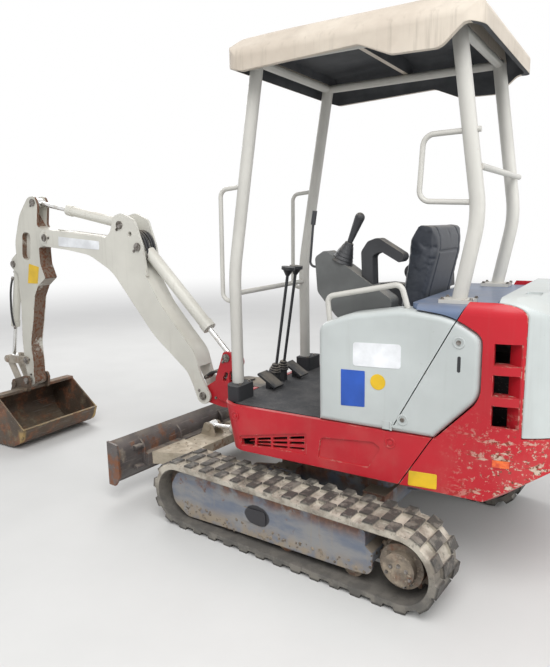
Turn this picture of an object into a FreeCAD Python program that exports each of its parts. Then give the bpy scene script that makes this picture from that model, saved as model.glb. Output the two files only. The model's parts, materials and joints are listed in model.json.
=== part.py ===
import FreeCAD, Part
import math
import os

# Mini excavator with a canopy, in millimetres, +Z up.
# The origin is on the ground under the slew axis, the machine's front is +X, its left side is +Y.
# The tracks stand turned by TRACK_TURN under the upper structure, as they are parked.

os.makedirs("parts", exist_ok=True)
Vec = FreeCAD.Vector

# Fits
PIN_GAP = 0.3
SEAM = 5.0
SLEW_GAP = 0.3

# Undercarriage
TRACK_TURN = -5.1
TRACK_SHIFT = 55.0
TRACK_AXLES = 1221.0
TRACK_OUTER = 685.0
BELT_WIDTH = 230.0
BELT_INNER_R = 135.0
BELT_THICK = 22.0
LUG_HEIGHT = 20.0
LUG_COUNT = 34
LUG_ROOT = 0.56
LUG_TIP = 0.42
LUG_ROW_OUTER = 64.0
TRACK_Z = BELT_INNER_R + BELT_THICK + LUG_HEIGHT
IDLER_X = TRACK_SHIFT + TRACK_AXLES / 2
SPROCKET_X = TRACK_SHIFT - TRACK_AXLES / 2
BELT_FLOOR = TRACK_Z - BELT_INNER_R

SIDE_PLATE_OUT = 640.0
SIDE_PLATE_IN = 490.0
SIDE_PLATE_THICK = 10.0
SIDE_BEAM_BOTTOM = 150.0
SIDE_BEAM_FRONT = IDLER_X - 165.5
ROLLER_R = 50.0
ROLLER_FRONT = IDLER_X - 282.5
ROLLER_REAR = SPROCKET_X + 231.5
ROLLER_X = (ROLLER_FRONT, (ROLLER_FRONT + ROLLER_REAR) / 2, ROLLER_REAR)
IDLER_WIDTH = 60.0
SPROCKET_R = 122.0
SPROCKET_ROOT_R = 108.0
SPROCKET_TEETH = 15
SPROCKET_WIDTH = 30.0
HUB_FACE = 667.0
HUB_R = 68.0
FLANGE_R = 95.0

CENTRE_HALF = 240.0
CENTRE_FRONT = 350.0
CENTRE_REAR = -300.0
CENTRE_BOTTOM = 195.0
CENTRE_TOP = 330.0
CROSS_TUBE = 90.0
CROSS_TUBE_X = (250.0, -270.0)
RING_BASE = 372.0
RING_TOP = 434.0
RING_R = 225.0
RING_HOLE_R = 150.0
TIE_HOLE_R = 14.0
TIE_REACH = 45.0
TIE_THICK = 24.0
TIE_X = CENTRE_REAR - TIE_REACH
TIE_BOTTOM = CENTRE_BOTTOM + 30.0

# Dozer blade
BLADE_PIVOT = (470.0, 205.0)
BLADE_PIN_R = 16.0
BLADE_ARM_Y = 300.0
BLADE_HALF = 490.0
BLADE_TOP = 355.0
BLADE_BOTTOM = 100.0
BLADE_X = 1200.0
BLADE_DISH = 45.0
BLADE_THICK = 14.0
BLADE_BEND = 115.0
BLADE_CYL_BASE = (395.0, 345.0)
BLADE_CYL_EYE = (1045.0, 285.0)

# Upper structure
UPPER_HALF = 490.0
SKIRT_BOTTOM = 434.0
DECK_TOP = 661.0
PANEL = 24.0
SKIRT_TOP_FRONT = 545.0
SKIRT_LOW_FRONT = 499.0
DECK_CORNER_R = 115.0
GRILLE_DEPTH = 7.0
GRILLE_REAR = 52.0
GRILLE_PITCH = 92.0
GRILLE_SLOT = 80.0
GRILLE_COLUMNS = 4
PRESSED_DEPTH = 7.0
# Foot of each row of slots at its rear, its fall ahead per millimetre, and the slots' height
GRILLE_ROWS = [(553.0, 0.205, 14.0), (526.0, 0.160, 13.0), (499.0, 0.105, 11.0)]
# Outlines of the recess round the grille and of the pressed panel behind it
GRILLE_RECESS = [(40.0, 478.0, 6.0), (36.0, 586.0, 10.0), (414.0, 510.0, 8.0), (418.0, 478.0, 6.0)]
PRESSED_PANEL = [(-22.0, 478.0, 8.0), (-36.0, 578.0, 22.0), (-290.0, 602.0, 25.0), (-326.0, 580.0, 16.0),
                 (-268.0, 480.0, 8.0)]
NOSE_HALF = 150.0
SWING_X = 690.0
SWING_PIN_R = 28.0
TAIL_R = 1120.0
TAIL_CORNER_R = 350.0
TAIL_LOW_R = TAIL_R - 220.0
TAIL_LOW_EDGE = 620.0
TAIL_WALL = 220.0
TAIL_TOP = 1244.0
CAP_TOP_R = 70.0
VENT_WIDTH = 95.0
VENT_FOOT = 747.0
VENT_PITCH = 121.0
VENT_OPEN = 86.0
VENT_DEPTH = 50.0
VENT_COUNT = 3
LAMP_LENGTH = 62.0
LAMP_Z = 588.0
LAMP_HEIGHT = 28.0
HOOD_HALF = UPPER_HALF - 26.0
HOOD_BOTTOM = 714.0
COVER_FRONT = -25.0
COVER_REAR = 395.0 - TAIL_R
SEAM_TOP_X = COVER_REAR + 182.0
SEAM_LOW_X = COVER_REAR + 319.0
TOP_COVER_FRONT = -430.0
TOP_COVER_REAR = COVER_REAR - 45.0
TOP_COVER_Z = TAIL_TOP - 29.0
HOOD_HINGE = (TOP_COVER_REAR - 8.0, TOP_COVER_Z + 12.0)
BASE_HALF = UPPER_HALF - 50.0
BASE_THICK = 16.0
COVER_SHOULDER = 1095.0
SIDE_COVER_DEPTH = 110.0
VENT_FRONT = COVER_REAR - 48.0
VENT_REAR = VENT_FRONT - VENT_WIDTH
VENT_HEAD = VENT_FOOT + (VENT_COUNT - 1) * VENT_PITCH + VENT_OPEN
DOOR_HINGE = (-372.0, UPPER_HALF + 5.3)
DOOR_HINGE_Z = 670.0
HOOD_EAR_Y = HOOD_HALF - 164.0

# Operator's station
CONSOLE_WIDTH = 90.0
CONSOLE_CLEAR = 10.0
CONSOLE_TO_SEAT = 45.0
SEAT_HALF = UPPER_HALF - SIDE_COVER_DEPTH - CONSOLE_CLEAR - CONSOLE_WIDTH - CONSOLE_TO_SEAT
SEAT_BASE_TOP = 920.0
CONSOLE_PIVOT = (-290.0, 1150.0)
LEVER_Y = 42.0
PEDAL_Y = 140.0

# Canopy
POST_INSET = 136.0
POST_Y = UPPER_HALF - POST_INSET
POST_R = 30.0
ROOF_HALF = 500.0
ROOF_FRONT = 430.0
ROOF_TOP = 2370.0
ROOF_DEPTH = 175.0
ROOF_SKIRT = ROOF_TOP - ROOF_DEPTH
ROOF_THICK = 22.0
ROOF_POST_TOP = ROOF_TOP - 98.0
FRONT_POST_X = 508.0
FRONT_POST_TOP_X = 345.0
REAR_POST_X = COVER_REAR + 126.0
REAR_KNEE_X = REAR_POST_X - 64.0
REAR_POST_TOP_X = REAR_POST_X + 39.0
ROOF_REAR = REAR_POST_X - 84.0

# Front group: pins as (x, z) at rest
BOOM_FOOT = (975.0, 529.0)
BOOM_CYL_EYE = (804.0, 776.0)
BOOM_CYL_PIN = (1439.0, 1411.0)
BOOM_HOLE = (1497.0, 1490.0)
BOOM_HOLE_R = 14.0
ARM_CYL_PIN = (1579.0, 1545.0)
ARM_PIN = (2300.0, 1470.0)
ARM_CYL_EYE = (2414.0, 1710.0)
BUCKET_CYL_PIN = (2705.0, 1283.0)
ROCKER_PIN = (2645.0, 575.0)
LINK_PIN = (2870.0, 565.0)
EAR_PIN = (2770.0, 385.0)
BUCKET_PIN = (2618.0, 429.0)
FRONT_PIN_R = 16.0
BOOM_HALF = 52.0
BOOM_PLATE = 14.0
ARM_HALF = 50.0
LINK_IN = ARM_HALF + PIN_GAP
LINK_OUT = LINK_IN + 12.0
EAR_IN = LINK_OUT + 12.0
EAR_OUT = EAR_IN + 16.0
BUCKET_HALF = 330.0
BUCKET_THICK = 8.0


def at(plane, a, b, c):
    """Point whose plane coordinates are a, b and whose height off the plane is c."""
    if plane == "xz":
        return Vec(a, c, b)
    if plane == "xy":
        return Vec(a, b, c)
    return Vec(c, a, b)


def loop(points, plane, level):
    """Closed wire of lines, with a tangent arc where a point has a radius as third value."""
    count = len(points)
    ends = []
    for i in range(count):
        here = points[i]
        radius = here[2] if len(here) > 2 else 0.0
        p = at(plane, here[0], here[1], level)
        if radius <= 0:
            ends.append((p, None, p))
            continue
        before = points[i - 1]
        after = points[(i + 1) % count]
        u = at(plane, before[0], before[1], level).sub(p).normalize()
        v = at(plane, after[0], after[1], level).sub(p).normalize()
        half = u.getAngle(v) / 2
        reach = radius / math.tan(half)
        middle = (u + v).normalize() * (radius / math.sin(half) - radius)
        ends.append((p + u * reach, p + middle, p + v * reach))
    edges = []
    for i in range(count):
        start, mid, stop = ends[i]
        if mid is not None:
            edges.append(Part.Arc(start, mid, stop).toShape())
        nxt = ends[(i + 1) % count][0]
        if stop.distanceToPoint(nxt) > 1e-4:
            edges.append(Part.makeLine(stop, nxt))
    return Part.Wire(edges)


def prism(points, plane, low, high):
    """Solid of a rounded outline in a plane, from one level to another."""
    face = Part.Face(loop(points, plane, low))
    return face.extrude(at(plane, 0, 0, high - low))


def strip(points, thick):
    """Closed outline of an open path given a wall: the wall lies on the path's left side."""
    count = len(points)
    normals = []
    for i in range(count - 1):
        dx = points[i + 1][0] - points[i][0]
        dy = points[i + 1][1] - points[i][1]
        length = math.hypot(dx, dy)
        normals.append((-dy / length, dx / length))
    inner = []
    for i in range(count):
        first = normals[max(i - 1, 0)]
        last = normals[min(i, count - 2)]
        scale = thick / (1 + first[0] * last[0] + first[1] * last[1])
        x = points[i][0] + (first[0] + last[0]) * scale
        y = points[i][1] + (first[1] + last[1]) * scale
        radius = points[i][2] if len(points[i]) > 2 else 0.0
        if radius > 0:
            turn = first[0] * last[1] - first[1] * last[0]
            radius = radius - thick if turn > 0 else radius + thick
        inner.append((x, y, radius))
    return list(points) + inner[::-1]


def box(x0, x1, y0, y1, z0, z1):
    return Part.makeBox(x1 - x0, y1 - y0, z1 - z0, Vec(x0, y0, z0))


def rod_y(x, z, radius, y0, y1):
    return Part.makeCylinder(radius, y1 - y0, Vec(x, y0, z), Vec(0, 1, 0))


def rod_z(x, y, radius, z0, z1):
    return Part.makeCylinder(radius, z1 - z0, Vec(x, y, z0), Vec(0, 0, 1))


def rod(start, stop, radius):
    a = Vec(*start)
    b = Vec(*stop)
    return Part.makeCylinder(radius, a.distanceToPoint(b), a, b.sub(a))


def ring_y(x, z, outer, bore, y0, y1):
    return rod_y(x, z, outer, y0, y1).cut(rod_y(x, z, bore, y0 - 1, y1 + 1))


def tube(points, radius, bend):
    """Round bar along straight runs joined by tangent arcs."""
    route = [Vec(*p) for p in points]
    edges = []
    start = route[0]
    for i in range(1, len(route) - 1):
        p = route[i]
        u = route[i - 1].sub(p).normalize()
        v = route[i + 1].sub(p).normalize()
        half = u.getAngle(v) / 2
        reach = bend / math.tan(half)
        middle = (u + v).normalize() * (bend / math.sin(half) - bend)
        edges.append(Part.makeLine(start, p + u * reach))
        edges.append(Part.Arc(p + u * reach, p + middle, p + v * reach).toShape())
        start = p + v * reach
    edges.append(Part.makeLine(start, route[-1]))
    ends = Part.Wire(Part.makeCircle(radius, route[0], route[1].sub(route[0])))
    return Part.Wire(edges).makePipeShell([ends], True, False)


def fuse(*shapes):
    body = shapes[0].multiFuse(list(shapes[1:])) if len(shapes) > 1 else shapes[0]
    return body.removeSplitter()


def mirrored(shape):
    return shape.mirror(Vec(0, 0, 0), Vec(0, 1, 0))


def both_sides(shape):
    return Part.makeCompound([shape, mirrored(shape)])


def turned(shape):
    """Undercarriage pieces are drawn along X and then turned with the tracks."""
    result = shape.copy()
    result.rotate(Vec(0, 0, 0), Vec(0, 0, 1), TRACK_TURN)
    return result


def save(name, shape):
    shape.exportStep("parts/" + name + ".step")


# Rubber tracks

BELT_OUTER_R = BELT_INNER_R + BELT_THICK
BELT_LENGTH = 2 * TRACK_AXLES + 2 * math.pi * BELT_OUTER_R


def belt_point(distance, height):
    """Point on the belt's outside at a distance along it, raised by a height."""
    arc = math.pi * BELT_OUTER_R
    s = distance % BELT_LENGTH
    radius = BELT_OUTER_R + height
    if s < TRACK_AXLES:
        return (SPROCKET_X + s, TRACK_Z + radius)
    s -= TRACK_AXLES
    if s < arc:
        angle = math.pi / 2 - s / BELT_OUTER_R
        return (IDLER_X + radius * math.cos(angle), TRACK_Z + radius * math.sin(angle))
    s -= arc
    if s < TRACK_AXLES:
        return (IDLER_X - s, TRACK_Z - radius)
    s -= TRACK_AXLES
    angle = -math.pi / 2 - s / BELT_OUTER_R
    return (SPROCKET_X + radius * math.cos(angle), TRACK_Z + radius * math.sin(angle))


def belt_run(start, stop, height):
    """Edges along the belt's outside between two distances, split where an end curve begins."""
    arc = math.pi * BELT_OUTER_R
    breaks = [0.0, TRACK_AXLES, TRACK_AXLES + arc, 2 * TRACK_AXLES + arc, BELT_LENGTH]
    cuts = [b for b in breaks + [b + BELT_LENGTH for b in breaks] if start + 0.01 < b < stop - 0.01]
    stations = [start] + sorted(set(cuts)) + [stop]
    edges = []
    for a, b in zip(stations, stations[1:]):
        middle = ((a + b) / 2) % BELT_LENGTH
        first = belt_point(a, height)
        last = belt_point(b, height)
        p = Vec(first[0], 0, first[1])
        q = Vec(last[0], 0, last[1])
        curved = TRACK_AXLES < middle < TRACK_AXLES + arc or middle > 2 * TRACK_AXLES + arc
        if curved:
            m = belt_point(middle, height)
            edges.append(Part.Arc(p, Vec(m[0], 0, m[1]), q).toShape())
        else:
            edges.append(Part.makeLine(p, q))
    return edges


def stadium(radius):
    """Plain closed outline round both track ends."""
    left, right = SPROCKET_X, IDLER_X
    top, bottom = TRACK_Z + radius, TRACK_Z - radius
    return Part.Wire([
        Part.makeLine(Vec(left, 0, top), Vec(right, 0, top)),
        Part.Arc(Vec(right, 0, top), Vec(right + radius, 0, TRACK_Z), Vec(right, 0, bottom)).toShape(),
        Part.makeLine(Vec(right, 0, bottom), Vec(left, 0, bottom)),
        Part.Arc(Vec(left, 0, bottom), Vec(left - radius, 0, TRACK_Z), Vec(left, 0, top)).toShape(),
    ])


def lugged_outline(phase):
    """Outside of one row of the belt, with its lugs."""
    pitch = BELT_LENGTH / LUG_COUNT
    root = pitch * LUG_ROOT
    slope = pitch * (LUG_ROOT - LUG_TIP) / 2
    edges = []
    for i in range(LUG_COUNT):
        s = (i + phase) * pitch
        flat = [(s, 0.0), (s + slope, LUG_HEIGHT), (s + root - slope, LUG_HEIGHT), (s + root, 0.0)]
        spots = [belt_point(d, h) for d, h in flat]
        corners = [Vec(x, 0, z) for x, z in spots]
        edges += [Part.makeLine(a, b) for a, b in zip(corners, corners[1:])]
        edges += belt_run(s + root, s + pitch, 0.0)
    return edges


def track_row(outline, low, high):
    width = Vec(0, high - low, 0)
    solid = Part.Face(outline).extrude(width).cut(Part.Face(stadium(BELT_INNER_R)).extrude(width))
    solid.translate(Vec(0, low, 0))
    return solid


def sewn_wire(edges):
    return Part.Wire(Part.__sortEdges__(edges))


def track_left():
    """Belt in three rows side by side, whose lugs stand half a pitch apart."""
    outer = TRACK_OUTER
    inner = TRACK_OUTER - BELT_WIDTH
    edge_row = sewn_wire(lugged_outline(0.0))
    middle_row = sewn_wire(lugged_outline(0.5))
    rows = [
        track_row(edge_row, outer - LUG_ROW_OUTER, outer),
        track_row(middle_row, inner + LUG_ROW_OUTER, outer - LUG_ROW_OUTER),
        track_row(edge_row, inner, inner + LUG_ROW_OUTER),
    ]
    return fuse(*rows)


# Track frames, rollers, idlers and final drives

# Outline of the side plates, from the sprocket's end to the idler's
SIDE_PLATE = [
    (SPROCKET_X + 160.5, 285.0, 20.0), (SPROCKET_X + 160.5, 215.0), (SPROCKET_X + 125.5, 190.0, 15.0),
    (SPROCKET_X + 130.5, 90.0, 40.0), (SPROCKET_X + 280.5, 82.0), (IDLER_X - 328.5, 66.0),
    (IDLER_X - 25.5, 52.0, 60.0), (IDLER_X + 69.5, 110.0, 50.0), (IDLER_X + 86.5, 200.0, 60.0),
    (IDLER_X + 34.5, 285.0, 60.0),
]


def track_frame_left():
    """Box beam open below between two side plates, which also carry the front idler."""
    outer = SIDE_PLATE_OUT
    inner = SIDE_PLATE_IN
    wall = SIDE_PLATE_THICK
    body = prism(SIDE_PLATE, "xz", inner, outer)
    rear, front = SPROCKET_X - BELT_INNER_R, IDLER_X + 2 * BELT_INNER_R
    below = box(rear, front, inner + wall, outer - wall, 0, SIDE_BEAM_BOTTOM)
    ahead = box(SIDE_BEAM_FRONT, front, inner + wall, outer - wall, 0, 400)
    body = body.cut(below).cut(ahead)
    top_rail = prism([(SPROCKET_X + 160.5, 285.0), (IDLER_X + 34.5, 285.0), (IDLER_X - 5.5, 292.0),
                      (SPROCKET_X + 195.5, 292.0)], "xz", inner + 20, outer - 20)
    top_rail = top_rail.cut(box(SIDE_BEAM_FRONT, front, 0, outer, 0, 400))
    drive_plate = prism([(SPROCKET_X + 185.5, 110.0), (SPROCKET_X + 185.5, 260.0),
                         (SPROCKET_X - 4.5, 285.0, 60.0),
                         (SPROCKET_X - 94.5, TRACK_Z, 60.0), (SPROCKET_X - 4.5, 70.0,
                                                              60.0)], "xz", inner, inner + wall)
    cover_plate = prism([(125.0, 145.0, 18.0), (265.0, 141.0, 18.0),
                         (265.0, 213.0, 18.0), (125.0, 217.0, 18.0)], "xz", outer, outer + 6)
    return fuse(body, top_rail, drive_plate, cover_plate)


def rollers_left():
    """Three bottom rollers and the front idler, each with its axle between the side plates."""
    low = SIDE_PLATE_IN + SIDE_PLATE_THICK
    high = SIDE_PLATE_OUT - SIDE_PLATE_THICK
    z = BELT_FLOOR + PIN_GAP + ROLLER_R
    solids = []
    for x in ROLLER_X:
        flanges = rod_y(x, z, ROLLER_R, low + 15, low + 50)
        other = rod_y(x, z, ROLLER_R, high - 50, high - 15)
        solids.append(fuse(flanges, other, rod_y(x, z, ROLLER_R * 0.5, low, high)))
    mid = (low + high) / 2
    rim = BELT_INNER_R - PIN_GAP
    wheel = ring_y(IDLER_X, TRACK_Z, rim, rim - 30, mid - IDLER_WIDTH / 2, mid + IDLER_WIDTH / 2)
    web = rod_y(IDLER_X, TRACK_Z, rim - 25, mid - 10, mid + 10)
    solids.append(fuse(wheel, web, rod_y(IDLER_X, TRACK_Z, 30, low, high)))
    return Part.makeCompound(solids)


def sprocket_outline():
    points = []
    for i in range(SPROCKET_TEETH):
        for share, radius in ((-0.30, SPROCKET_ROOT_R), (-0.12, SPROCKET_R),
                              (0.12, SPROCKET_R), (0.30, SPROCKET_ROOT_R)):
            angle = 2 * math.pi * (i + share) / SPROCKET_TEETH
            points.append((SPROCKET_X + radius * math.cos(angle), TRACK_Z + radius * math.sin(angle)))
    return points


def final_drive_left():
    start = SIDE_PLATE_IN + SIDE_PLATE_THICK
    mid = (SIDE_PLATE_IN + SIDE_PLATE_OUT) / 2
    gear = prism(sprocket_outline(), "xz", mid - SPROCKET_WIDTH / 2, mid + SPROCKET_WIDTH / 2)
    return fuse(
        gear,
        rod_y(SPROCKET_X, TRACK_Z, FLANGE_R, start, SIDE_PLATE_OUT - 5),
        rod_y(SPROCKET_X, TRACK_Z, HUB_R, start, HUB_FACE),
    )


def undercarriage_frame():
    """Centre box with the slew pedestal, sliding cross tubes, blade ears and the rear tie plate."""
    half = CENTRE_HALF
    core = prism([(CENTRE_REAR, -half, 60.0), (CENTRE_FRONT, -half, 60.0),
                  (CENTRE_FRONT, half, 60.0), (CENTRE_REAR, half, 60.0)], "xy", CENTRE_BOTTOM, CENTRE_TOP)
    pieces = [core, rod_z(0, 0, RING_R + 15, CENTRE_TOP, RING_BASE)]
    for x in CROSS_TUBE_X:
        pieces.append(box(x - CROSS_TUBE / 2, x + CROSS_TUBE / 2, -SIDE_PLATE_IN, SIDE_PLATE_IN,
                          CENTRE_BOTTOM, CENTRE_BOTTOM + CROSS_TUBE))
        for sign in (1, -1):
            pieces.append(box(x - CROSS_TUBE / 2 - 12, x + CROSS_TUBE / 2 + 12,
                              min(sign * half, sign * (half + 90)), max(sign * half, sign * (half + 90)),
                              CENTRE_BOTTOM - 12, CENTRE_BOTTOM + CROSS_TUBE + 12))
    px, pz = BLADE_PIVOT
    for sign in (1, -1):
        for offset in (-46.0, 34.0):
            y = sign * BLADE_ARM_Y + offset
            ear = prism([(CENTRE_FRONT - 80, CENTRE_BOTTOM), (CENTRE_FRONT - 80, CENTRE_TOP - 40, 20.0),
                         (px + 30, pz + 45, 30.0), (px + 38, pz - 38, 30.0)], "xz", y, y + 12)
            pieces.append(ear.cut(rod_y(px, pz, BLADE_PIN_R + PIN_GAP, y - 1, y + 13)))
        y = sign * BLADE_ARM_Y
        pieces.append(box(CENTRE_FRONT - 110, CENTRE_FRONT - 20, y - 46, y + 46, CENTRE_BOTTOM,
                          CENTRE_TOP - 40))
    bx, bz = BLADE_CYL_BASE
    for y in (-42.0, 30.0):
        lug = prism([(CENTRE_FRONT - 90, CENTRE_TOP - 60), (CENTRE_FRONT - 60, bz + 25, 20.0),
                     (bx + 28, bz + 28, 26.0), (bx + 28, bz - 28, 20.0),
                     (CENTRE_FRONT - 2, CENTRE_TOP - 60)], "xz", y, y + 12)
        pieces.append(lug.cut(rod_y(bx, bz, FRONT_PIN_R + PIN_GAP, y - 1, y + 13)))
    tie = prism([(CENTRE_REAR + 20, -60.0), (CENTRE_REAR + 20, 60.0), (TIE_X - 34, 40.0, 30.0),
                 (TIE_X - 34, -40.0, 30.0)],
                "xy", TIE_BOTTOM, TIE_BOTTOM + TIE_THICK)
    pieces.append(tie.cut(rod_z(TIE_X, 0, TIE_HOLE_R, TIE_BOTTOM - 1, TIE_BOTTOM + TIE_THICK + 1)))
    return fuse(*pieces)


def slew_ring_lower():
    return rod_z(0, 0, RING_R, RING_BASE, RING_BASE + 28).cut(rod_z(0, 0, RING_HOLE_R, 0, 500))


def slew_ring_upper():
    low = RING_BASE + 28 + SLEW_GAP
    return rod_z(0, 0, RING_R + 12, low, RING_TOP).cut(rod_z(0, 0, RING_HOLE_R, 0, 500))


# Dozer blade

BLADE_MIDDLE = (BLADE_TOP + BLADE_BOTTOM) / 2


# Back face of the dished board, from its top to its bottom
BLADE_BACK = [
    (BLADE_X, BLADE_TOP), (BLADE_X - BLADE_DISH, (BLADE_TOP + BLADE_MIDDLE) / 2 + 20, BLADE_BEND),
    (BLADE_X - BLADE_DISH, (BLADE_BOTTOM + BLADE_MIDDLE) / 2 - 20, BLADE_BEND), (BLADE_X, BLADE_BOTTOM + 6),
]


def blade_section():
    """Dished mouldboard: its back bulges towards the machine."""
    return strip(BLADE_BACK, BLADE_THICK)


def cutting_edge(low, high):
    """Wear bar welded along the board's foot."""
    return prism([(BLADE_X - 3, BLADE_BOTTOM), (BLADE_X + 16, BLADE_BOTTOM), (BLADE_X + 2, BLADE_BOTTOM + 85),
                  (BLADE_X - 14, BLADE_BOTTOM + 60)], "xz", low, high)


def blade_rib(y, thick):
    """Rib whose front edge runs inside the board."""
    inside = strip(BLADE_BACK, BLADE_THICK / 2)[:len(BLADE_BACK) - 1:-1]
    back = BLADE_X - BLADE_DISH - 25
    outline = inside + [(back, BLADE_BOTTOM + 70, 60.0), (back, BLADE_TOP - 70, 60.0)]
    return prism(outline, "xz", y - thick / 2, y + thick / 2)


def blade_board():
    half = BLADE_HALF
    board = prism(blade_section(), "xz", -half, half)
    edge = cutting_edge(-half, half)
    ribs = [blade_rib(y, 12.0) for y in (-half + 6, -half / 2.6, half / 2.6, half - 6)]
    beam = box(BLADE_X - BLADE_DISH - 45, BLADE_X - BLADE_DISH + 3, -half + 12, half - 12,
               BLADE_MIDDLE - 60, BLADE_MIDDLE + 10)
    return fuse(board, edge, beam, *ribs)


def blade_wing_left():
    """Pinned widening piece at the blade's end."""
    low = BLADE_HALF + PIN_GAP
    high = TRACK_OUTER
    board = prism(blade_section(), "xz", low, high)
    edge = cutting_edge(low, high)
    end = prism([(BLADE_X + 14, BLADE_TOP), (BLADE_X - BLADE_DISH - 25, BLADE_TOP - 10),
                 (BLADE_X - BLADE_DISH - 35, BLADE_BOTTOM + 60), (BLADE_X - BLADE_DISH + 10, BLADE_BOTTOM),
                 (BLADE_X + 16, BLADE_BOTTOM)], "xz", high - 14, high)
    pins = [rod((BLADE_X - BLADE_DISH - 14, low + 6, z), (BLADE_X - BLADE_DISH - 14, low + 60, z), 12.0)
            for z in (BLADE_MIDDLE - 60, BLADE_MIDDLE + 60)]
    lugs = [box(BLADE_X - BLADE_DISH - 14, BLADE_X - BLADE_DISH + 4, low + 6, low + 60, z - 12, z + 12)
            for z in (BLADE_MIDDLE - 60, BLADE_MIDDLE + 60)]
    return fuse(board, edge, end, *pins, *lugs)


def blade_arms():
    """Two flared push arms with a cross box, pinned to the centre frame."""
    px, pz = BLADE_PIVOT
    back = BLADE_X - BLADE_DISH - 45
    y = BLADE_ARM_Y
    plan = [(px - 30, y - 30), (px - 30, y + 30), (870.0, y + 34, 80.0), (back, y + 150),
            (back, y - 110), (900.0, y - 60, 80.0), (px + 80, y - 30)]
    arm = prism(plan, "xy", pz - 38, pz + 34)
    eye = rod_y(px, pz, 40.0, y - 30, y + 30)
    arm = fuse(arm.cut(box(px - 60, px, y - 60, y + 60, pz - 60, pz + 60)), eye)
    arm = arm.cut(rod_y(px, pz, BLADE_PIN_R + PIN_GAP, y - 40, y + 40))
    cross = box(930.0, back, -y, y, pz - 30, pz + 26)
    ex, ez = BLADE_CYL_EYE
    lugs = []
    for ly in (-42.0, 30.0):
        lug = prism([(ex - 60, pz + 20), (ex - 30, ez + 26, 20.0), (ex + 30, ez + 26, 20.0),
                     (back, pz + 20)], "xz", ly, ly + 12)
        lugs.append(lug)
    head = rod_y(ex, ez, FRONT_PIN_R + 8, 42.0, 50.0)
    return fuse(arm, mirrored(arm), cross, head, mirrored(head), *lugs)


def blade_pins():
    px, pz = BLADE_PIVOT
    y = BLADE_ARM_Y
    pin = rod_y(px, pz, BLADE_PIN_R, y - 52, y + 52)
    head = rod_y(px, pz, BLADE_PIN_R + 10, y + 46, y + 54)
    bx, bz = BLADE_CYL_BASE
    base_pin = fuse(rod_y(bx, bz, FRONT_PIN_R, -46, 42), rod_y(bx, bz, FRONT_PIN_R + 8, 42, 50))
    return [fuse(pin, head), mirrored(fuse(pin, head)), base_pin]


# Hydraulic cylinders, drawn between two pins

def unit(start, stop):
    dx, dz = stop[0] - start[0], stop[1] - start[1]
    length = math.hypot(dx, dz)
    return dx / length, dz / length, length


def barrel(base, eye, length, radius, eye_half):
    """Barrel from its base pin towards the rod's eye, with the base eye and the gland."""
    ux, uz, _ = unit(base, eye)
    place = lambda d: (base[0] + ux * d, 0.0, base[1] + uz * d)
    shell = rod(place(44.0), place(length), radius)
    gland = rod(place(length - 45), place(length), radius + 4)
    shell = fuse(shell, gland)
    neck = rod(place(0.0), place(50.0), radius * 0.62)
    port = rod(place(70.0), (place(70.0)[0] - uz * (radius + 14), 0.0, place(70.0)[2] + ux * (radius + 14)),
               11.0)
    eye_ring = rod_y(base[0], base[1], 32.0, -eye_half, eye_half)
    solid = fuse(shell, neck, port, eye_ring)
    bore = rod_y(base[0], base[1], FRONT_PIN_R + PIN_GAP, -eye_half - 1, eye_half + 1)
    return solid.cut(bore)


def stub_pin(x, z, inner, outer, head):
    """Pin that ends short of a rod's eye, with its head outside."""
    return fuse(rod_y(x, z, FRONT_PIN_R, inner, outer + head),
                rod_y(x, z, FRONT_PIN_R + 8, outer, outer + head))


def cylinder_rod(base, eye, inside, radius, eye_half):
    """Chrome rod from inside the barrel to its eye, which holds its own piece of the pin."""
    ux, uz, total = unit(base, eye)
    place = lambda d: (base[0] + ux * d, 0.0, base[1] + uz * d)
    bar = rod(place(inside), place(total), radius)
    eye_ring = rod_y(eye[0], eye[1], 30.0, -eye_half, eye_half)
    recess = rod_y(eye[0], eye[1], FRONT_PIN_R + PIN_GAP, eye_half - 3, eye_half + 1)
    return fuse(bar, eye_ring).cut(recess).cut(mirrored(recess))


def hollow_barrel(base, eye, length, radius, rod_radius, depth, eye_half):
    """Barrel with its bore, so that the rod slides in it."""
    ux, uz, _ = unit(base, eye)
    place = lambda d: (base[0] + ux * d, 0.0, base[1] + uz * d)
    bore = rod(place(depth), place(length + 5), rod_radius + PIN_GAP)
    return barrel(base, eye, length, radius, eye_half).cut(bore)


# base pin, eye pin, barrel length, barrel radius, rod radius, bore start, rod start, eye half width
CYLINDERS = {
    "blade_cylinder": (BLADE_CYL_BASE, BLADE_CYL_EYE, 480.0, 32.0, 15.0, 60.0, 250.0, 29.0),
    "boom_cylinder": (BOOM_CYL_PIN, BOOM_CYL_EYE, 680.0, 38.0, 17.5, 60.0, 230.0, 30.0),
    "arm_cylinder": (ARM_CYL_PIN, ARM_CYL_EYE, 545.0, 32.0, 16.0, 60.0, 310.0, 30.0),
    "bucket_cylinder": (BUCKET_CYL_PIN, LINK_PIN, 480.0, 28.0, 14.0, 60.0, 300.0, 24.0),
}


def make_cylinder(name):
    base, eye, length, radius, rod_radius, depth, inside, half = CYLINDERS[name]
    return (hollow_barrel(base, eye, length, radius, rod_radius, depth, half),
            cylinder_rod(base, eye, inside, rod_radius, half))


# Swing bracket, boom, arm, links and bucket

BRACKET_HALF = 40.0


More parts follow.
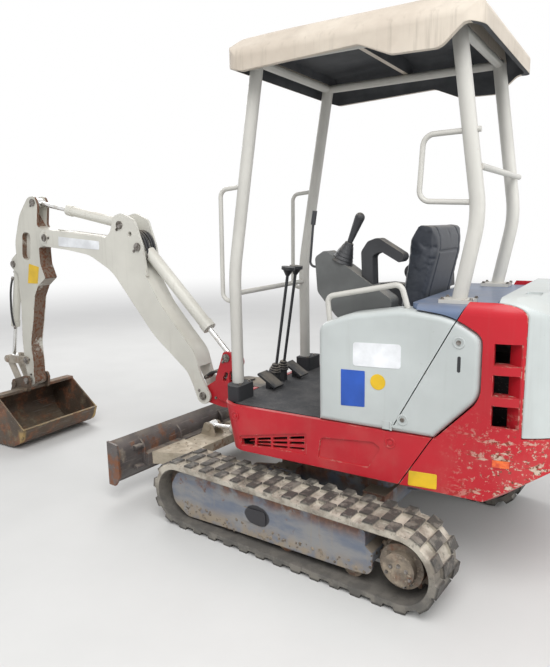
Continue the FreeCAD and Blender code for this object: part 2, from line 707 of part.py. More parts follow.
def swing_bracket():
    """Casting on the swing pin: a boss for the boom's foot and two ears for the boom cylinder."""
    fx, fz = BOOM_FOOT
    ex, ez = BOOM_CYL_EYE
    post = rod_z(SWING_X, 0, 62.0, SKIRT_BOTTOM + 38 + SLEW_GAP, DECK_TOP - 32 - SLEW_GAP)
    web = prism([(SWING_X, 475.0), (fx - 126, fz - 60, 60.0), (fx - 20, fz - 44), (fx + 30, fz + 30, 20.0),
                 (fx - 106, fz + 118, 60.0), (fx - 176, fz + 89, 30.0), (SWING_X, fz + 89)],
                "xz", -BRACKET_HALF, BRACKET_HALF)
    foot = rod_y(fx, fz, 46.0, -BRACKET_HALF, BRACKET_HALF)
    body = fuse(post, web, foot)
    ear_side = prism([(SWING_X + 100, 500.0, 30.0), (fx - 105, fz - 11, 30.0), (fx - 84, fz + 111, 60.0),
                      (ex + 38, ez - 10, 20.0), (ex + 20, ez + 38, 26.0), (ex - 32, ez + 34, 26.0),
                      (ex - 62, ez - 50, 40.0), (SWING_X + 98, 690.0, 30.0)], "xz", 34.0, 52.0)
    window = prism([(ex - 12, ez - 88, 10.0), (ex + 12, ez - 84, 10.0), (ex + 38, ez - 140, 10.0),
                    (ex + 12, ez - 146, 10.0)], "xz", 30.0, 60.0)
    ear_side = ear_side.cut(window)
    ear_side = ear_side.cut(rod_y(ex, ez, FRONT_PIN_R + PIN_GAP, 30, 60))
    body = fuse(body, ear_side, mirrored(ear_side))
    body = body.cut(rod_y(fx, fz, FRONT_PIN_R + PIN_GAP, -60, 60))
    return body.cut(rod_z(SWING_X, 0, SWING_PIN_R + PIN_GAP, 400, 700))


def bracket_pins():
    fx, fz = BOOM_FOOT
    ex, ez = BOOM_CYL_EYE
    foot = fuse(rod_y(fx, fz, FRONT_PIN_R, -72, 72), rod_y(fx, fz, 24.0, 68.3, 76))
    eye = stub_pin(ex, ez, 35.0, 52.0, 8.0)
    return Part.makeCompound([foot, eye, mirrored(eye)])


BOOM_OUTLINE = [
    (1021.0, 512.0), (1050.0, 588.0, 120.0), (1092.0, 668.0, 120.0), (1345.0, 868.0, 500.0),
    (1672.0, 1256.0, 300.0), (1870.0, 1358.0, 300.0), (2080.0, 1390.0), (2300.0, 1412.0),
    (2300.0, 1526.0), (2071.0, 1506.0), (1735.0, 1472.0, 120.0), (1500.0, 1372.0, 120.0),
    (1405.0, 1270.0, 150.0), (1282.0, 1072.0, 400.0), (1140.0, 912.0, 400.0), (1028.0, 792.0, 160.0),
    (991.0, 657.0, 60.0), (929.0, 545.0),
]
# Raised cheeks of the boom, and the well between them
BOOM_CHEEK = [
    (1372.0, 1232.0), (1398.0, 1415.0, 60.0), (1452.0, 1572.0, 45.0), (1560.0, 1618.0, 60.0),
    (1632.0, 1600.0, 40.0), (1668.0, 1500.0, 60.0), (1740.0, 1452.0),
]
BOOM_WELL = [
    (1290.0, 1450.0), (1322.0, 1330.0), (1392.0, 1322.0, 40.0), (1490.0, 1349.0, 60.0), (1530.0, 1467.0,
                                                                                         60.0),
    (1680.0, 1508.0), (1680.0, 1660.0), (1290.0, 1660.0),
]


def boom():
    """Curved box boom with a forked foot, a forked nose and raised cheeks for two cylinders."""
    half = BOOM_HALF
    plate = BOOM_PLATE
    outer = half + plate
    body = prism(BOOM_OUTLINE, "xz", -outer, outer)
    fx, fz = BOOM_FOOT
    ax, az = ARM_PIN
    foot = rod_y(fx, fz, 50.0, -outer, outer)
    nose = rod_y(ax, az, 55.0, -outer, outer)
    body = fuse(body, foot, nose)
    inner = half + PIN_GAP
    foot_gap = box(fx - 80, fx + 130, -inner, inner, fz - 90, fz + 175)
    nose_gap = prism([(ax - 130, az + 100), (ax - 130, az + 5), (ax - 240, az - 35), (ax - 240, az - 150),
                      (ax + 90, az - 150), (ax + 90, az + 100)], "xz", -inner, inner)
    body = body.cut(foot_gap).cut(nose_gap)
    cheek = prism(BOOM_CHEEK, "xz", half, outer)
    hole = rod_y(BOOM_HOLE[0], BOOM_HOLE[1], BOOM_HOLE_R, half - 1, outer + 1)
    cheek = cheek.cut(hole)
    plate = prism([(ax - 14, az - 36, 8.0), (ax + 26, az - 34, 8.0), (ax + 38, az, 8.0),
                   (ax + 26, az + 34, 8.0),
                   (ax - 14, az + 36, 8.0), (ax - 34, az, 8.0)], "xz", outer, outer + 5)
    plate = plate.cut(rod_y(ax, az, FRONT_PIN_R + 9 + PIN_GAP, outer - 1, outer + 6))
    body = fuse(body, cheek, mirrored(cheek), plate, mirrored(plate))
    body = body.cut(prism(BOOM_WELL, "xz", -half + 8, half - 8))
    for x, z in (BOOM_FOOT, BOOM_CYL_PIN, ARM_CYL_PIN, ARM_PIN):
        body = body.cut(rod_y(x, z, FRONT_PIN_R + PIN_GAP, -200, 200))
    return body


def boom_pins():
    solids = []
    for x, z in (BOOM_CYL_PIN, ARM_CYL_PIN, ARM_PIN):
        outer = BOOM_HALF + BOOM_PLATE
        solids.append(fuse(rod_y(x, z, FRONT_PIN_R, -outer - 4, outer + 4),
                           rod_y(x, z, FRONT_PIN_R + 9, outer, outer + 8)))
    return Part.makeCompound(solids)


ARM_OUTLINE = [
    (2368.0, 1690.0, 30.0), (2392.0, 1752.0, 34.0), (2462.0, 1748.0, 60.0), (2570.0, 1632.0, 220.0),
    (2648.0, 1440.0, 220.0), (2648.0, 975.0, 300.0), (2672.0, 720.0, 200.0), (2672.0, 560.0, 60.0),
    (2650.0, 400.0), (2586.0, 400.0), (2578.0, 560.0, 100.0), (2586.0, 700.0, 200.0), (2536.0, 870.0, 200.0),
    (2492.0, 1050.0, 60.0), (2440.0, 1132.0, 20.0), (2352.0, 1192.0, 12.0), (2392.0, 1290.0, 60.0),
    (2392.0, 1404.0, 20.0), (2300.0, 1418.0), (2300.0, 1522.0), (2394.0, 1545.0, 30.0),
]
# Oval opening in each side plate of the arm
ARM_SLOT = [(2470.0, 1506.0, 36.0), (2556.0, 1512.0, 36.0), (2582.0, 1326.0, 36.0), (2496.0, 1306.0, 36.0)]
ARM_SLOT_DEPTH = 36.0


def arm():
    """Box arm with its pivot boss, the cylinder eye at its top and the lug of the bucket cylinder."""
    half = ARM_HALF
    body = prism(ARM_OUTLINE, "xz", -half, half)
    ax, az = ARM_PIN
    bx, bz = BUCKET_PIN
    ex, ez = ARM_CYL_EYE
    cx, cz = BUCKET_CYL_PIN
    rx, rz = ROCKER_PIN
    lug = prism([(cx - 70, cz + 92), (cx + 14, cz + 36, 20.0), (cx + 28, cz - 22, 20.0), (cx - 70, cz - 92)],
                "xz", 27.0, 42.0)
    bosses = [rod_y(ax, az, 52.0, -half, half), rod_y(bx, bz, 42.0, -half, half),
              rod_y(rx, rz, 36.0, -half, half)]
    body = fuse(body, lug, mirrored(lug), *bosses)
    top_gap = prism([(ex - 90, ez - 165), (ex - 20, ez - 165, 20.0), (ex + 52, ez - 70, 30.0),
                     (ex + 150, ez + 100), (ex - 90, ez + 100)], "xz", -32.0, 32.0)
    slot = prism(ARM_SLOT, "xz", half - ARM_SLOT_DEPTH, half + 2)
    body = body.cut(top_gap).cut(slot).cut(mirrored(slot))
    for x, z in (ARM_PIN, ARM_CYL_EYE, ROCKER_PIN, BUCKET_PIN, BUCKET_CYL_PIN):
        body = body.cut(rod_y(x, z, FRONT_PIN_R + PIN_GAP, -200, 200))
    return body


def arm_pins():
    """Pins that the arm carries, each with a head."""
    solids = []
    for (x, z), reach, head in ((BUCKET_CYL_PIN, 42.0, 8.0), (ROCKER_PIN, LINK_OUT, 4.0),
                                (BUCKET_PIN, EAR_OUT, 8.0)):
        solids.append(fuse(rod_y(x, z, FRONT_PIN_R, -reach - head, reach),
                           rod_y(x, z, FRONT_PIN_R + 8, reach, reach + head)))
    eye = stub_pin(ARM_CYL_EYE[0], ARM_CYL_EYE[1], 33.0, ARM_HALF, 8.0)
    solids += [eye, mirrored(eye)]
    return Part.makeCompound(solids)


def link_plate(start, stop, y0, y1, radius):
    """Flat link with round ends and a hole at each pin."""
    ux, uz, _ = unit(start, stop)
    nx, nz = -uz * radius, ux * radius
    middle = prism([(start[0] + nx, start[1] + nz), (stop[0] + nx, stop[1] + nz),
                    (stop[0] - nx, stop[1] - nz), (start[0] - nx, start[1] - nz)], "xz", y0, y1)
    body = fuse(middle, rod_y(start[0], start[1], radius, y0, y1), rod_y(stop[0], stop[1], radius, y0, y1))
    for x, z in (start, stop):
        body = body.cut(rod_y(x, z, FRONT_PIN_R + PIN_GAP, y0 - 1, y1 + 1))
    return body


def rocker_links():
    """Pair of links from the arm to the bucket cylinder's eye, with the pin that joins them."""
    plate = link_plate(ROCKER_PIN, LINK_PIN, LINK_IN, LINK_OUT, 28.0)
    x, z = LINK_PIN
    plate = fuse(plate, rod_y(x, z, FRONT_PIN_R + PIN_GAP, LINK_IN, LINK_OUT),
                 rod_y(x, z, FRONT_PIN_R + 8, LINK_OUT, LINK_OUT + 6))
    return both_sides(plate)


def push_link():
    """Forked link from the bucket cylinder's eye to the bucket's front ears."""
    plate = link_plate(LINK_PIN, EAR_PIN, 28.0, 46.0, 28.0)
    x, z = LINK_PIN
    plate = fuse(plate, rod_y(x, z, FRONT_PIN_R + PIN_GAP, 28.0, 46.0))
    x, z = EAR_PIN
    reach = EAR_IN - PIN_GAP
    boss = ring_y(x, z, 28.0, FRONT_PIN_R + PIN_GAP, -reach, reach)
    return fuse(plate, mirrored(plate), boss)


BUCKET_PATH = [
    (2640.0, 372.0), (2845.0, 325.0, 90.0), (2885.0, 150.0, 130.0), (2770.0, 16.0, 130.0),
    (2510.0, 12.0, 150.0), (2402.0, 60.0, 80.0), (2370.0, 155.0),
]


def bucket():
    """Wide smooth-lipped bucket: bent shell, two side plates, lip bar and two pairs of ears."""
    half = BUCKET_HALF
    wall = BUCKET_THICK
    shell = prism(strip(BUCKET_PATH, -wall), "xz", -half, half)
    side = prism(BUCKET_PATH, "xz", half - 10, half)
    lip = prism([(2366.0, 158.0), (2392.0, 96.0), (2404.0, 100.0), (2378.0, 162.0)], "xz", -half, half)
    top_bar = box(2620.0, 2690.0, -half, half, 352.0, 372.0)
    bx, bz = BUCKET_PIN
    ex, ez = EAR_PIN
    ear = prism([(2600.0, 345.0, 20.0), (bx - 36, bz, 20.0), (bx - 20, bz + 36, 20.0),
                 (bx + 30, bz + 34, 20.0),
                 (ex + 20, ez + 34, 20.0), (ex + 34, ez - 20, 20.0), (2840.0, 300.0), (2640.0, 345.0)],
                "xz", EAR_IN, EAR_OUT)
    inside = prism(BUCKET_PATH, "xz", EAR_IN - 5, EAR_OUT + 5)
    ear = ear.cut(inside)
    body = fuse(shell, side, mirrored(side), lip, top_bar, ear, mirrored(ear))
    for x, z in (BUCKET_PIN, EAR_PIN):
        body = body.cut(rod_y(x, z, FRONT_PIN_R + PIN_GAP, -100, 100))
    return body


def bucket_pins():
    x, z = EAR_PIN
    return fuse(rod_y(x, z, FRONT_PIN_R, -EAR_OUT - 6, EAR_OUT),
                rod_y(x, z, FRONT_PIN_R + 8, EAR_OUT - 1, EAR_OUT + 8))


# Upper structure

def tail_plan(grow):
    """Rear corners of the base plate, from its left side round to its right, grown by a clearance."""
    half = BASE_HALF + grow
    rear = 270.0 - TAIL_R - grow
    return [(rear + 150 + grow, half), (rear, half - 140), (rear, 140 - half), (rear + 150 + grow, -half)]


def tail_form(inset):
    """Solid that the counterweight, the corner caps and the hood are cut from."""
    half = UPPER_HALF - inset
    corner = TAIL_CORNER_R - inset
    radius = TAIL_R - inset
    cy = UPPER_HALF - TAIL_CORNER_R
    cx = -math.sqrt((TAIL_R - TAIL_CORNER_R) ** 2 - cy ** 2)
    tangent = math.atan2(cy, cx)
    middle = (math.pi / 2 + tangent) / 2
    front = -300.0
    top = TAIL_TOP - inset
    low = SKIRT_BOTTOM + inset if inset else SKIRT_BOTTOM
    a = Vec(front, half, low)
    b = Vec(cx, half, low)
    c = Vec(cx + corner * math.cos(middle), cy + corner * math.sin(middle), low)
    d = Vec(radius * math.cos(tangent), radius * math.sin(tangent), low)
    e = Vec(-radius, 0, low)
    flip = lambda p: Vec(p.x, -p.y, p.z)
    wire = Part.Wire([
        Part.makeLine(a, b), Part.Arc(b, c, d).toShape(), Part.Arc(d, e, flip(d)).toShape(),
        Part.Arc(flip(d), flip(c), flip(b)).toShape(), Part.makeLine(flip(b), flip(a)),
        Part.makeLine(flip(a), a),
    ])
    block = Part.Face(wire).extrude(Vec(0, 0, top - low))
    edges = [e for e in block.Edges if abs(e.BoundBox.ZMin - top) < 0.01 and abs(e.BoundBox.ZMax - top) < 0.01
             and e.BoundBox.XMin < front - 1]
    block = block.makeFillet(CAP_TOP_R - inset / 2, edges)
    slope = [(0.0, low - 1), (TAIL_LOW_R - inset, low - 1), (TAIL_LOW_R - inset, low),
             (TAIL_R + 1 - inset, TAIL_LOW_EDGE + inset / 2), (TAIL_R + 1 - inset, TAIL_TOP - 195),
             (TAIL_R - 60 - inset, TAIL_TOP - 65), (TAIL_R - 190 - inset, top), (0.0, top)]
    points = [Vec(r, 0, z) for r, z in slope]
    points.append(points[0])
    cone = Part.Face(Part.makePolygon(points)).revolve(Vec(0, 0, 0), Vec(0, 0, 1), 360)
    return block.common(cone)


def skirt_left():
    """Pressed side skirt with its front return, a louvred grille and a raised crease."""
    outline = [(SKIRT_LOW_FRONT, SKIRT_BOTTOM), (SKIRT_TOP_FRONT, DECK_TOP),
               (SEAM_TOP_X, DECK_TOP), (SEAM_LOW_X, SKIRT_BOTTOM)]
    outer = prism(outline, "xz", NOSE_HALF, UPPER_HALF)
    front_edges = [e for e in outer.Edges
                   if e.BoundBox.YMin > UPPER_HALF - 1 and e.BoundBox.XMin > SKIRT_LOW_FRONT - 1]
    outer = outer.makeFillet(DECK_CORNER_R, front_edges)
    cut_outline = [(SKIRT_LOW_FRONT - PANEL, SKIRT_BOTTOM - 1), (SKIRT_TOP_FRONT - PANEL, DECK_TOP + 1),
                   (SEAM_TOP_X - 50, DECK_TOP + 1), (SEAM_LOW_X - 50, SKIRT_BOTTOM - 1)]
    inner = prism(cut_outline, "xz", NOSE_HALF - 1, UPPER_HALF - PANEL)
    inner_edges = [e for e in inner.Edges if e.BoundBox.YMin > UPPER_HALF - PANEL - 1
                   and e.BoundBox.XMin > SKIRT_LOW_FRONT - PANEL - 1]
    inner = inner.makeFillet(DECK_CORNER_R - PANEL, inner_edges)
    shell = outer.cut(inner)
    grille = prism(GRILLE_RECESS, "xz", UPPER_HALF - GRILLE_DEPTH, UPPER_HALF + 1)
    pressed = prism(PRESSED_PANEL, "xz", UPPER_HALF - PRESSED_DEPTH, UPPER_HALF + 1)
    slots = []
    for z, slope, height in GRILLE_ROWS:
        for column in range(GRILLE_COLUMNS):
            x = GRILLE_REAR + GRILLE_PITCH * column
            ends = (x, x + GRILLE_SLOT)
            foot = [z - slope * (end - GRILLE_REAR) for end in ends]
            slots.append(prism([(ends[0], foot[0]), (ends[1], foot[1]), (ends[1], foot[1] + height),
                                (ends[0], foot[0] + height)], "xz", UPPER_HALF - PANEL - 1, UPPER_HALF + 1))
    return shell.cut(grille).cut(pressed).cut(Part.makeCompound(slots))


def upper_frame():
    """Base plate over the slew ring, floor plate, and the nose that holds the swing pin."""
    base = prism([(470.0, -BASE_HALF, 90.0), (470.0, BASE_HALF, 90.0)] + tail_plan(0.0), "xy", RING_TOP,
                 RING_TOP + BASE_THICK)
    webs = [box(-470.0, 530.0, y - 8, y + 8, RING_TOP + BASE_THICK, DECK_TOP - 26) for y in (-130.0, 130.0)]
    edge = SKIRT_TOP_FRONT - PANEL - 8
    corner = DECK_CORNER_R - PANEL + 5
    half = UPPER_HALF - PANEL - 6
    floor = prism([(TOP_COVER_FRONT, -half), (edge, -half, corner), (edge, half, corner),
                   (TOP_COVER_FRONT, half)],
                  "xy", DECK_TOP - 26, DECK_TOP - 12)
    lower = prism([(400.0, -150.0), (SWING_X, -70.0, 60.0), (SWING_X + 75, -70.0, 60.0),
                   (SWING_X + 75, 70.0, 60.0), (SWING_X, 70.0, 60.0), (400.0, 150.0)], "xy",
                  SKIRT_BOTTOM + 2, SKIRT_BOTTOM + 38)
    upper = prism([(400.0, -150.0), (SWING_X, -70.0, 60.0), (SWING_X + 75, -70.0, 60.0),
                   (SWING_X + 75, 70.0, 60.0), (SWING_X, 70.0, 60.0), (400.0, 150.0)], "xy",
                  DECK_TOP - 32, DECK_TOP - 12)
    front = box(500.0, 600.0, -92.0, 92.0, SKIRT_BOTTOM + 38, DECK_TOP - 32)
    body = fuse(base, floor, lower, upper, front, *webs)
    return body.cut(rod_z(SWING_X, 0, SWING_PIN_R + PIN_GAP, 400, 700))


def swing_pin():
    return fuse(rod_z(SWING_X, 0, SWING_PIN_R, SKIRT_BOTTOM + 2, DECK_TOP - 6),
                rod_z(SWING_X, 0, 40.0, DECK_TOP - 12, DECK_TOP - 2))


def floor_mat():
    front = SKIRT_TOP_FRONT - PANEL - 8
    corner = DECK_CORNER_R - PANEL + 5
    half = UPPER_HALF - PANEL - 11
    beside = SEAT_HALF + 65
    rear = COVER_FRONT + 6
    plan = [(front, -half, corner), (front, half, corner), (rear, half), (rear, beside), (-60.0, beside),
            (-60.0, -beside), (rear, -beside), (rear, -half)]
    return prism(plan, "xy", DECK_TOP - 12, DECK_TOP)


def seam_front():
    """Volume behind the slanted seam between the skirt and the counterweight."""
    return prism([(SEAM_LOW_X - SEAM, SKIRT_BOTTOM), (SEAM_TOP_X - SEAM, DECK_TOP),
                  (SEAM_TOP_X - SEAM, 2000.0), (-2000.0, 2000.0), (-2000.0, SKIRT_BOTTOM)],
                 "xz", -700, 700)


def lamp_form(grow):
    """Volume of a rear lamp, grown by a clearance."""
    rear = VENT_REAR + 20
    return box(rear - grow, rear + LAMP_LENGTH + grow, 300, 600, LAMP_Z - grow, LAMP_Z + LAMP_HEIGHT + grow)


def rear_lamps():
    """Flush lamps in the counterweight's corners, a little proud of it."""
    lamp = tail_form(0.0).common(lamp_form(0.0)).cut(tail_form(12.0))
    proud = lamp.copy()
    proud.translate(Vec(0, 3.0, 0))
    return both_sides(fuse(lamp, proud))


def vent_wall():
    """Plan of the slanted wall behind the vents, from the skin's rear edge inwards."""
    surface = UPPER_HALF - 19.0
    return [(VENT_REAR - 6, surface - 3.5), (VENT_REAR - 4, surface + 1.5),
            (VENT_REAR + 48, surface - VENT_DEPTH + 6),
            (VENT_REAR + 44, surface - VENT_DEPTH)]


def vents_left(cap):
    """Three square vents over each other in a corner cap, with shelves between them and one slanted wall."""
    pieces = [prism(vent_wall(), "xy", VENT_FOOT - 10, VENT_HEAD + 10)]
    inner = UPPER_HALF - 19.0 - VENT_DEPTH
    plan = [(VENT_REAR, UPPER_HALF - 21), (VENT_FRONT + 4, UPPER_HALF - 6), (VENT_FRONT + 4, inner),
            (VENT_REAR + 44, inner)]
    for i in range(VENT_COUNT):
        low = VENT_FOOT + i * VENT_PITCH
        cap = cap.cut(box(VENT_REAR, VENT_FRONT, UPPER_HALF - 100, UPPER_HALF + 1, low, low + VENT_OPEN))
        if i:
            pieces.append(prism(plan, "xy", low - VENT_PITCH + VENT_OPEN, low))
    return fuse(cap, *pieces)


def counterweight():
    """Casting round the tail with its corner caps, tapered in below, open in front to the engine bay."""
    beyond = TAIL_R + 100
    body = tail_form(0.0).common(box(-beyond, 0, -beyond, beyond, SKIRT_BOTTOM - 1, HOOD_BOTTOM - SEAM))
    bay_rear = TAIL_WALL - TAIL_R
    bay = prism([(0.0, -BASE_HALF), (bay_rear + 260, -BASE_HALF, 60.0), (bay_rear, 180 - BASE_HALF, 60.0),
                 (bay_rear, BASE_HALF - 180, 60.0), (bay_rear + 260, BASE_HALF, 60.0), (0.0, BASE_HALF)],
                "xy", RING_TOP + BASE_THICK, 1000.0)
    well = prism([(0.0, -BASE_HALF - 2), (0.0, BASE_HALF + 2)] + tail_plan(2.0),
                 "xy", SKIRT_BOTTOM - 5, RING_TOP + BASE_THICK + PIN_GAP)
    body = body.cut(bay).cut(well).common(seam_front())
    step = COVER_REAR + 165
    notch = prism([(0.0, DECK_TOP), (step, DECK_TOP), (step - 80, DECK_TOP + 60), (step - 80, 900.0),
                   (0.0, 900.0)],
                  "xz", -beyond, beyond)
    lamp_seat = tail_form(-5.0).common(lamp_form(PIN_GAP)).cut(tail_form(12.0 + PIN_GAP))
    body = body.cut(notch).cut(lamp_seat).cut(mirrored(lamp_seat))
    cap = corner_cap_left()
    return fuse(body, cap, mirrored(cap))


COVER_LENGTH = COVER_FRONT - COVER_REAR
COVER_OUTLINE = [
    (COVER_FRONT, DECK_TOP + PIN_GAP), (COVER_FRONT, COVER_SHOULDER, 55.0),
    (COVER_FRONT - 0.193 * COVER_LENGTH, COVER_SHOULDER + 55, 400.0),
    (COVER_FRONT - 0.536 * COVER_LENGTH, COVER_SHOULDER + 93, 400.0),
    (COVER_FRONT - 0.836 * COVER_LENGTH, COVER_SHOULDER + 70, 300.0), (COVER_REAR, COVER_SHOULDER, 50.0),
    (COVER_REAR, COVER_SHOULDER - 245, 120.0), (COVER_REAR + 177, DECK_TOP + PIN_GAP),
]


def cover_solid(inset, low, high):
    face = Part.Face(loop(COVER_OUTLINE, "xz", low))
    if inset:
        face = Part.Face(face.makeOffset2D(inset).OuterWire)
    return face.extrude(Vec(0, high - low, 0))


def door_region(gap):
    """Volume behind the diagonal seam of the side cover."""
    return prism([(-330.0 - gap, 600.0), (-628.0 - gap, 1160.0), (-648.0 - gap, 1300.0), (-1000.0, 1300.0),
                  (-1000.0, 600.0)], "xz", 0, 600)


def cover_shell():
    outer = cover_solid(0, UPPER_HALF - SIDE_COVER_DEPTH, UPPER_HALF)
    rim = [e for e in outer.Edges if e.BoundBox.YMin > UPPER_HALF - 0.5]
    outer = outer.makeFillet(26.0, rim)
    inner = cover_solid(-PANEL, UPPER_HALF - SIDE_COVER_DEPTH - 1, UPPER_HALF - PANEL)
    return outer.cut(inner)


def hinge_knuckle(start, stop):
    """Piece of the side door's barrel hinge between two shares of its height."""
    x, y = DOOR_HINGE
    height = 36.0
    return rod_z(x, y, 5.0, DOOR_HINGE_Z + height * start, DOOR_HINGE_Z + height * stop)


def side_cover_left():
    """Left cover: its front panel with the hinge pin, and the jamb that runs on behind the side door."""
    shell = cover_shell()
    front = shell.cut(door_region(0.0))
    jamb = shell.common(door_region(0.0)).common(box(-1000, 0, 0, UPPER_HALF - 40 - SEAM, 0, 2000))
    x, y = DOOR_HINGE
    leaf = box(x, x + 40, UPPER_HALF - 1, UPPER_HALF + 3, DOOR_HINGE_Z, DOOR_HINGE_Z + 36)
    leaf = leaf.cut(box(x - 8, x + 6, 0, 600, DOOR_HINGE_Z + 11, DOOR_HINGE_Z + 25))
    pin = rod_z(x, y, 2.5, DOOR_HINGE_Z, DOOR_HINGE_Z + 36)
    return fuse(front, jamb, leaf, hinge_knuckle(0.0, 0.3), hinge_knuckle(0.7, 1.0), pin)


def side_door():
    """Door skin with a turned-in rim and the middle knuckle of its hinge."""
    skin = cover_shell().common(door_region(SEAM))
    skin = skin.common(box(-1000, 0, UPPER_HALF - 40, UPPER_HALF + 1, 0, 2000))
    x, y = DOOR_HINGE
    leaf = box(x - 50, x, UPPER_HALF + PIN_GAP, UPPER_HALF + 3, DOOR_HINGE_Z + 12, DOOR_HINGE_Z + 24)
    root = box(x - 50, x - 36, UPPER_HALF - 4, UPPER_HALF + 3, DOOR_HINGE_Z + 12, DOOR_HINGE_Z + 24)
    body = fuse(skin, leaf, root, hinge_knuckle(0.34, 0.66))
    return body.cut(rod_z(x, y, 2.5 + PIN_GAP, 600, 800))


def side_cover_right():
    return mirrored(cover_shell())


def cap_front(gap):
    """Volume ahead of the slanted seam between a corner cap and the top cover."""
    low_x, low_z = COVER_REAR + 104 + gap, COVER_SHOULDER + 40
    high_x, high_z = COVER_REAR + 35 + gap, TAIL_TOP + 20
    return prism([(low_x, low_z), (high_x, high_z), (0.0, high_z), (0.0, low_z)], "xz", -600, 600)


def corner_cap_left():
    """Skin of the casting that rises beside the hood, behind the side cover."""
    shell = tail_form(0.0).cut(tail_form(PANEL))
    beyond = TAIL_R + 100
    step = COVER_REAR + 165
    region = box(-beyond, step, HOOD_HALF + SEAM / 2, beyond, DECK_TOP + 3, TAIL_TOP + 100)
    clear = cover_solid(SEAM, 0, 600)
    cap = shell.common(region).cut(clear).cut(cap_front(0.0)).common(seam_front())
    return vents_left(cap)


def rear_hood():
    """Pressed lid round the tail, hinged at its front top edge."""
    shell = tail_form(0.0).cut(tail_form(PANEL))
    hood = shell.common(box(-TAIL_R - 100, HOOD_HINGE[0], -HOOD_HALF, HOOD_HALF, HOOD_BOTTOM, TAIL_TOP + 100))
    x, z = HOOD_HINGE
    for y in (-HOOD_EAR_Y, HOOD_EAR_Y):
        hood = hood.cut(rod_y(x, z, 13.0, y - 15, y + 15)).cut(rod_y(x, z, 5.0 + PIN_GAP, y - 27, y + 27))
    beside = box(VENT_REAR - 12, VENT_FRONT + 10, HOOD_HALF - 60, HOOD_HALF + 1, VENT_FOOT - 22,
                 VENT_HEAD + 22)
    grip = prism([(x - 118, 208.0, 12.0), (x - 58, 208.0, 12.0), (x - 58, 292.0, 12.0),
                  (x - 118, 292.0, 12.0)], "xy",
                 TAIL_TOP - 7, TAIL_TOP + 10)
    return hood.cut(beside).cut(mirrored(beside)).cut(grip)


def top_cover():
    """Flat lid between the side covers with the bulkhead behind the seat."""
    top = TOP_COVER_Z
    half = UPPER_HALF - 45
    plate = prism([(TOP_COVER_FRONT, -half, 30.0), (TOP_COVER_FRONT, half, 30.0),
                   (TOP_COVER_REAR, half, 10.0),
                   (TOP_COVER_REAR, -half, 10.0)], "xy", top - 30, top - 8)
    between = UPPER_HALF - SIDE_COVER_DEPTH - 10
    wall = box(TOP_COVER_FRONT - 16, TOP_COVER_FRONT, -between, between, DECK_TOP + 2, top - 30)
    shoulder = prism([(half - 20, top - 30), (half - 20, top - 8), (UPPER_HALF - 6, top - 8, 36.0),
                      (UPPER_HALF - 6, COVER_SHOULDER + 23), (UPPER_HALF - 26, COVER_SHOULDER + 23),
                      (UPPER_HALF - 26, top - 30, 14.0)], "yz", COVER_REAR + 30, TOP_COVER_FRONT - 34)
    ahead = cap_front(SEAM).common(box(-2000, 0, -600, 600, 0, 2000))
    shoulder = shoulder.common(ahead).cut(cover_solid(SEAM, 0, 600))
    x, z = HOOD_HINGE
    ears = [shoulder, mirrored(shoulder)]
    for y in (-HOOD_EAR_Y, HOOD_EAR_Y):
        ear = prism([(x - 8, z + 8, 7.9), (x + 8, z + 8, 7.9), (x + 40, top - 10), (x + 12, top - 28),
                     (x - 8, z - 8, 7.9)],
                    "xz", y - 10, y + 10)
        ears += [ear, rod_y(x, z, 5.0, y - 26, y + 26)]
    return fuse(plate, wall, *ears)


def engine_block():
    return box(TAIL_WALL + 60 - TAIL_R, TOP_COVER_FRONT - 50, -210.0, 210.0, RING_TOP + BASE_THICK, 900.0)


def seat_base():
    """Box under the seat, with a raised rear part."""
    outline = [(-408.0, DECK_TOP), (-408.0, SEAT_BASE_TOP), (-20.0, SEAT_BASE_TOP, 40.0), (-40.0, DECK_TOP)]
    return prism(outline, "xz", -SEAT_HALF - 40, SEAT_HALF + 40)


def seat_cushion():
    outline = [(-300.0, SEAT_BASE_TOP + PIN_GAP), (-300.0, SEAT_BASE_TOP + 95, 30.0),
               (30.0, SEAT_BASE_TOP + 110, 40.0),
               (50.0, SEAT_BASE_TOP + 40, 40.0), (20.0, SEAT_BASE_TOP + PIN_GAP)]
    return prism(outline, "xz", -SEAT_HALF, SEAT_HALF)


def seat_back():
    outline = [(-302.0, SEAT_BASE_TOP + PIN_GAP), (-302.0, 1180.0, 60.0), (-345.0, 1470.0, 60.0),
               (-385.0, 1535.0, 30.0), (-455.0, 1525.0, 30.0), (-450.0, 1400.0, 60.0), (-405.0, 1210.0, 60.0),
               (-405.0, SEAT_BASE_TOP + PIN_GAP)]
    return prism(outline, "xz", -SEAT_HALF, SEAT_HALF)


# Folds of a joystick's rubber boot from its foot up, as level and radius
BOOT_FOLDS = [(0.0, 52.0), (15.0, 47.0), (30.0, 42.0), (45.0, 36.0), (60.0, 30.0), (75.0, 23.0)]


def joystick(x, z, y, lean):
    """Stepped rubber boot with a grip that widens upwards, leaning by an angle from upright."""
    pieces = []
    axis = Vec(-math.sin(math.radians(lean)), 0, math.cos(math.radians(lean)))
    foot = Vec(x, y, z)
    for level, radius in BOOT_FOLDS:
        pieces.append(Part.makeCone(radius, radius * 0.82, 16.0, foot + axis * level, axis))
    pieces.append(Part.makeCone(11.0, 22.0, 124.0, foot + axis * 85, axis))
    pieces.append(Part.makeSphere(22.0, foot + axis * 209))
    return fuse(*pieces)


def console_left():
    """Tilting control box, raised as the machine is left."""
    px, pz = CONSOLE_PIVOT
    outline = [(50.0, 1382.0, 24.0), (0.0, 1414.0, 24.0), (px - 28, pz + 56, 25.0), (px - 22, pz - 32, 25.0),
               (-160.0, 1092.0, 40.0), (-62.0, 1112.0, 60.0), (38.0, 1226.0, 40.0)]
    inner = SEAT_HALF + CONSOLE_TO_SEAT
    body = prism(outline, "xz", inner, inner + CONSOLE_WIDTH)
    return body.cut(rod_y(px, pz, 8.0 + PIN_GAP, 200, 500))


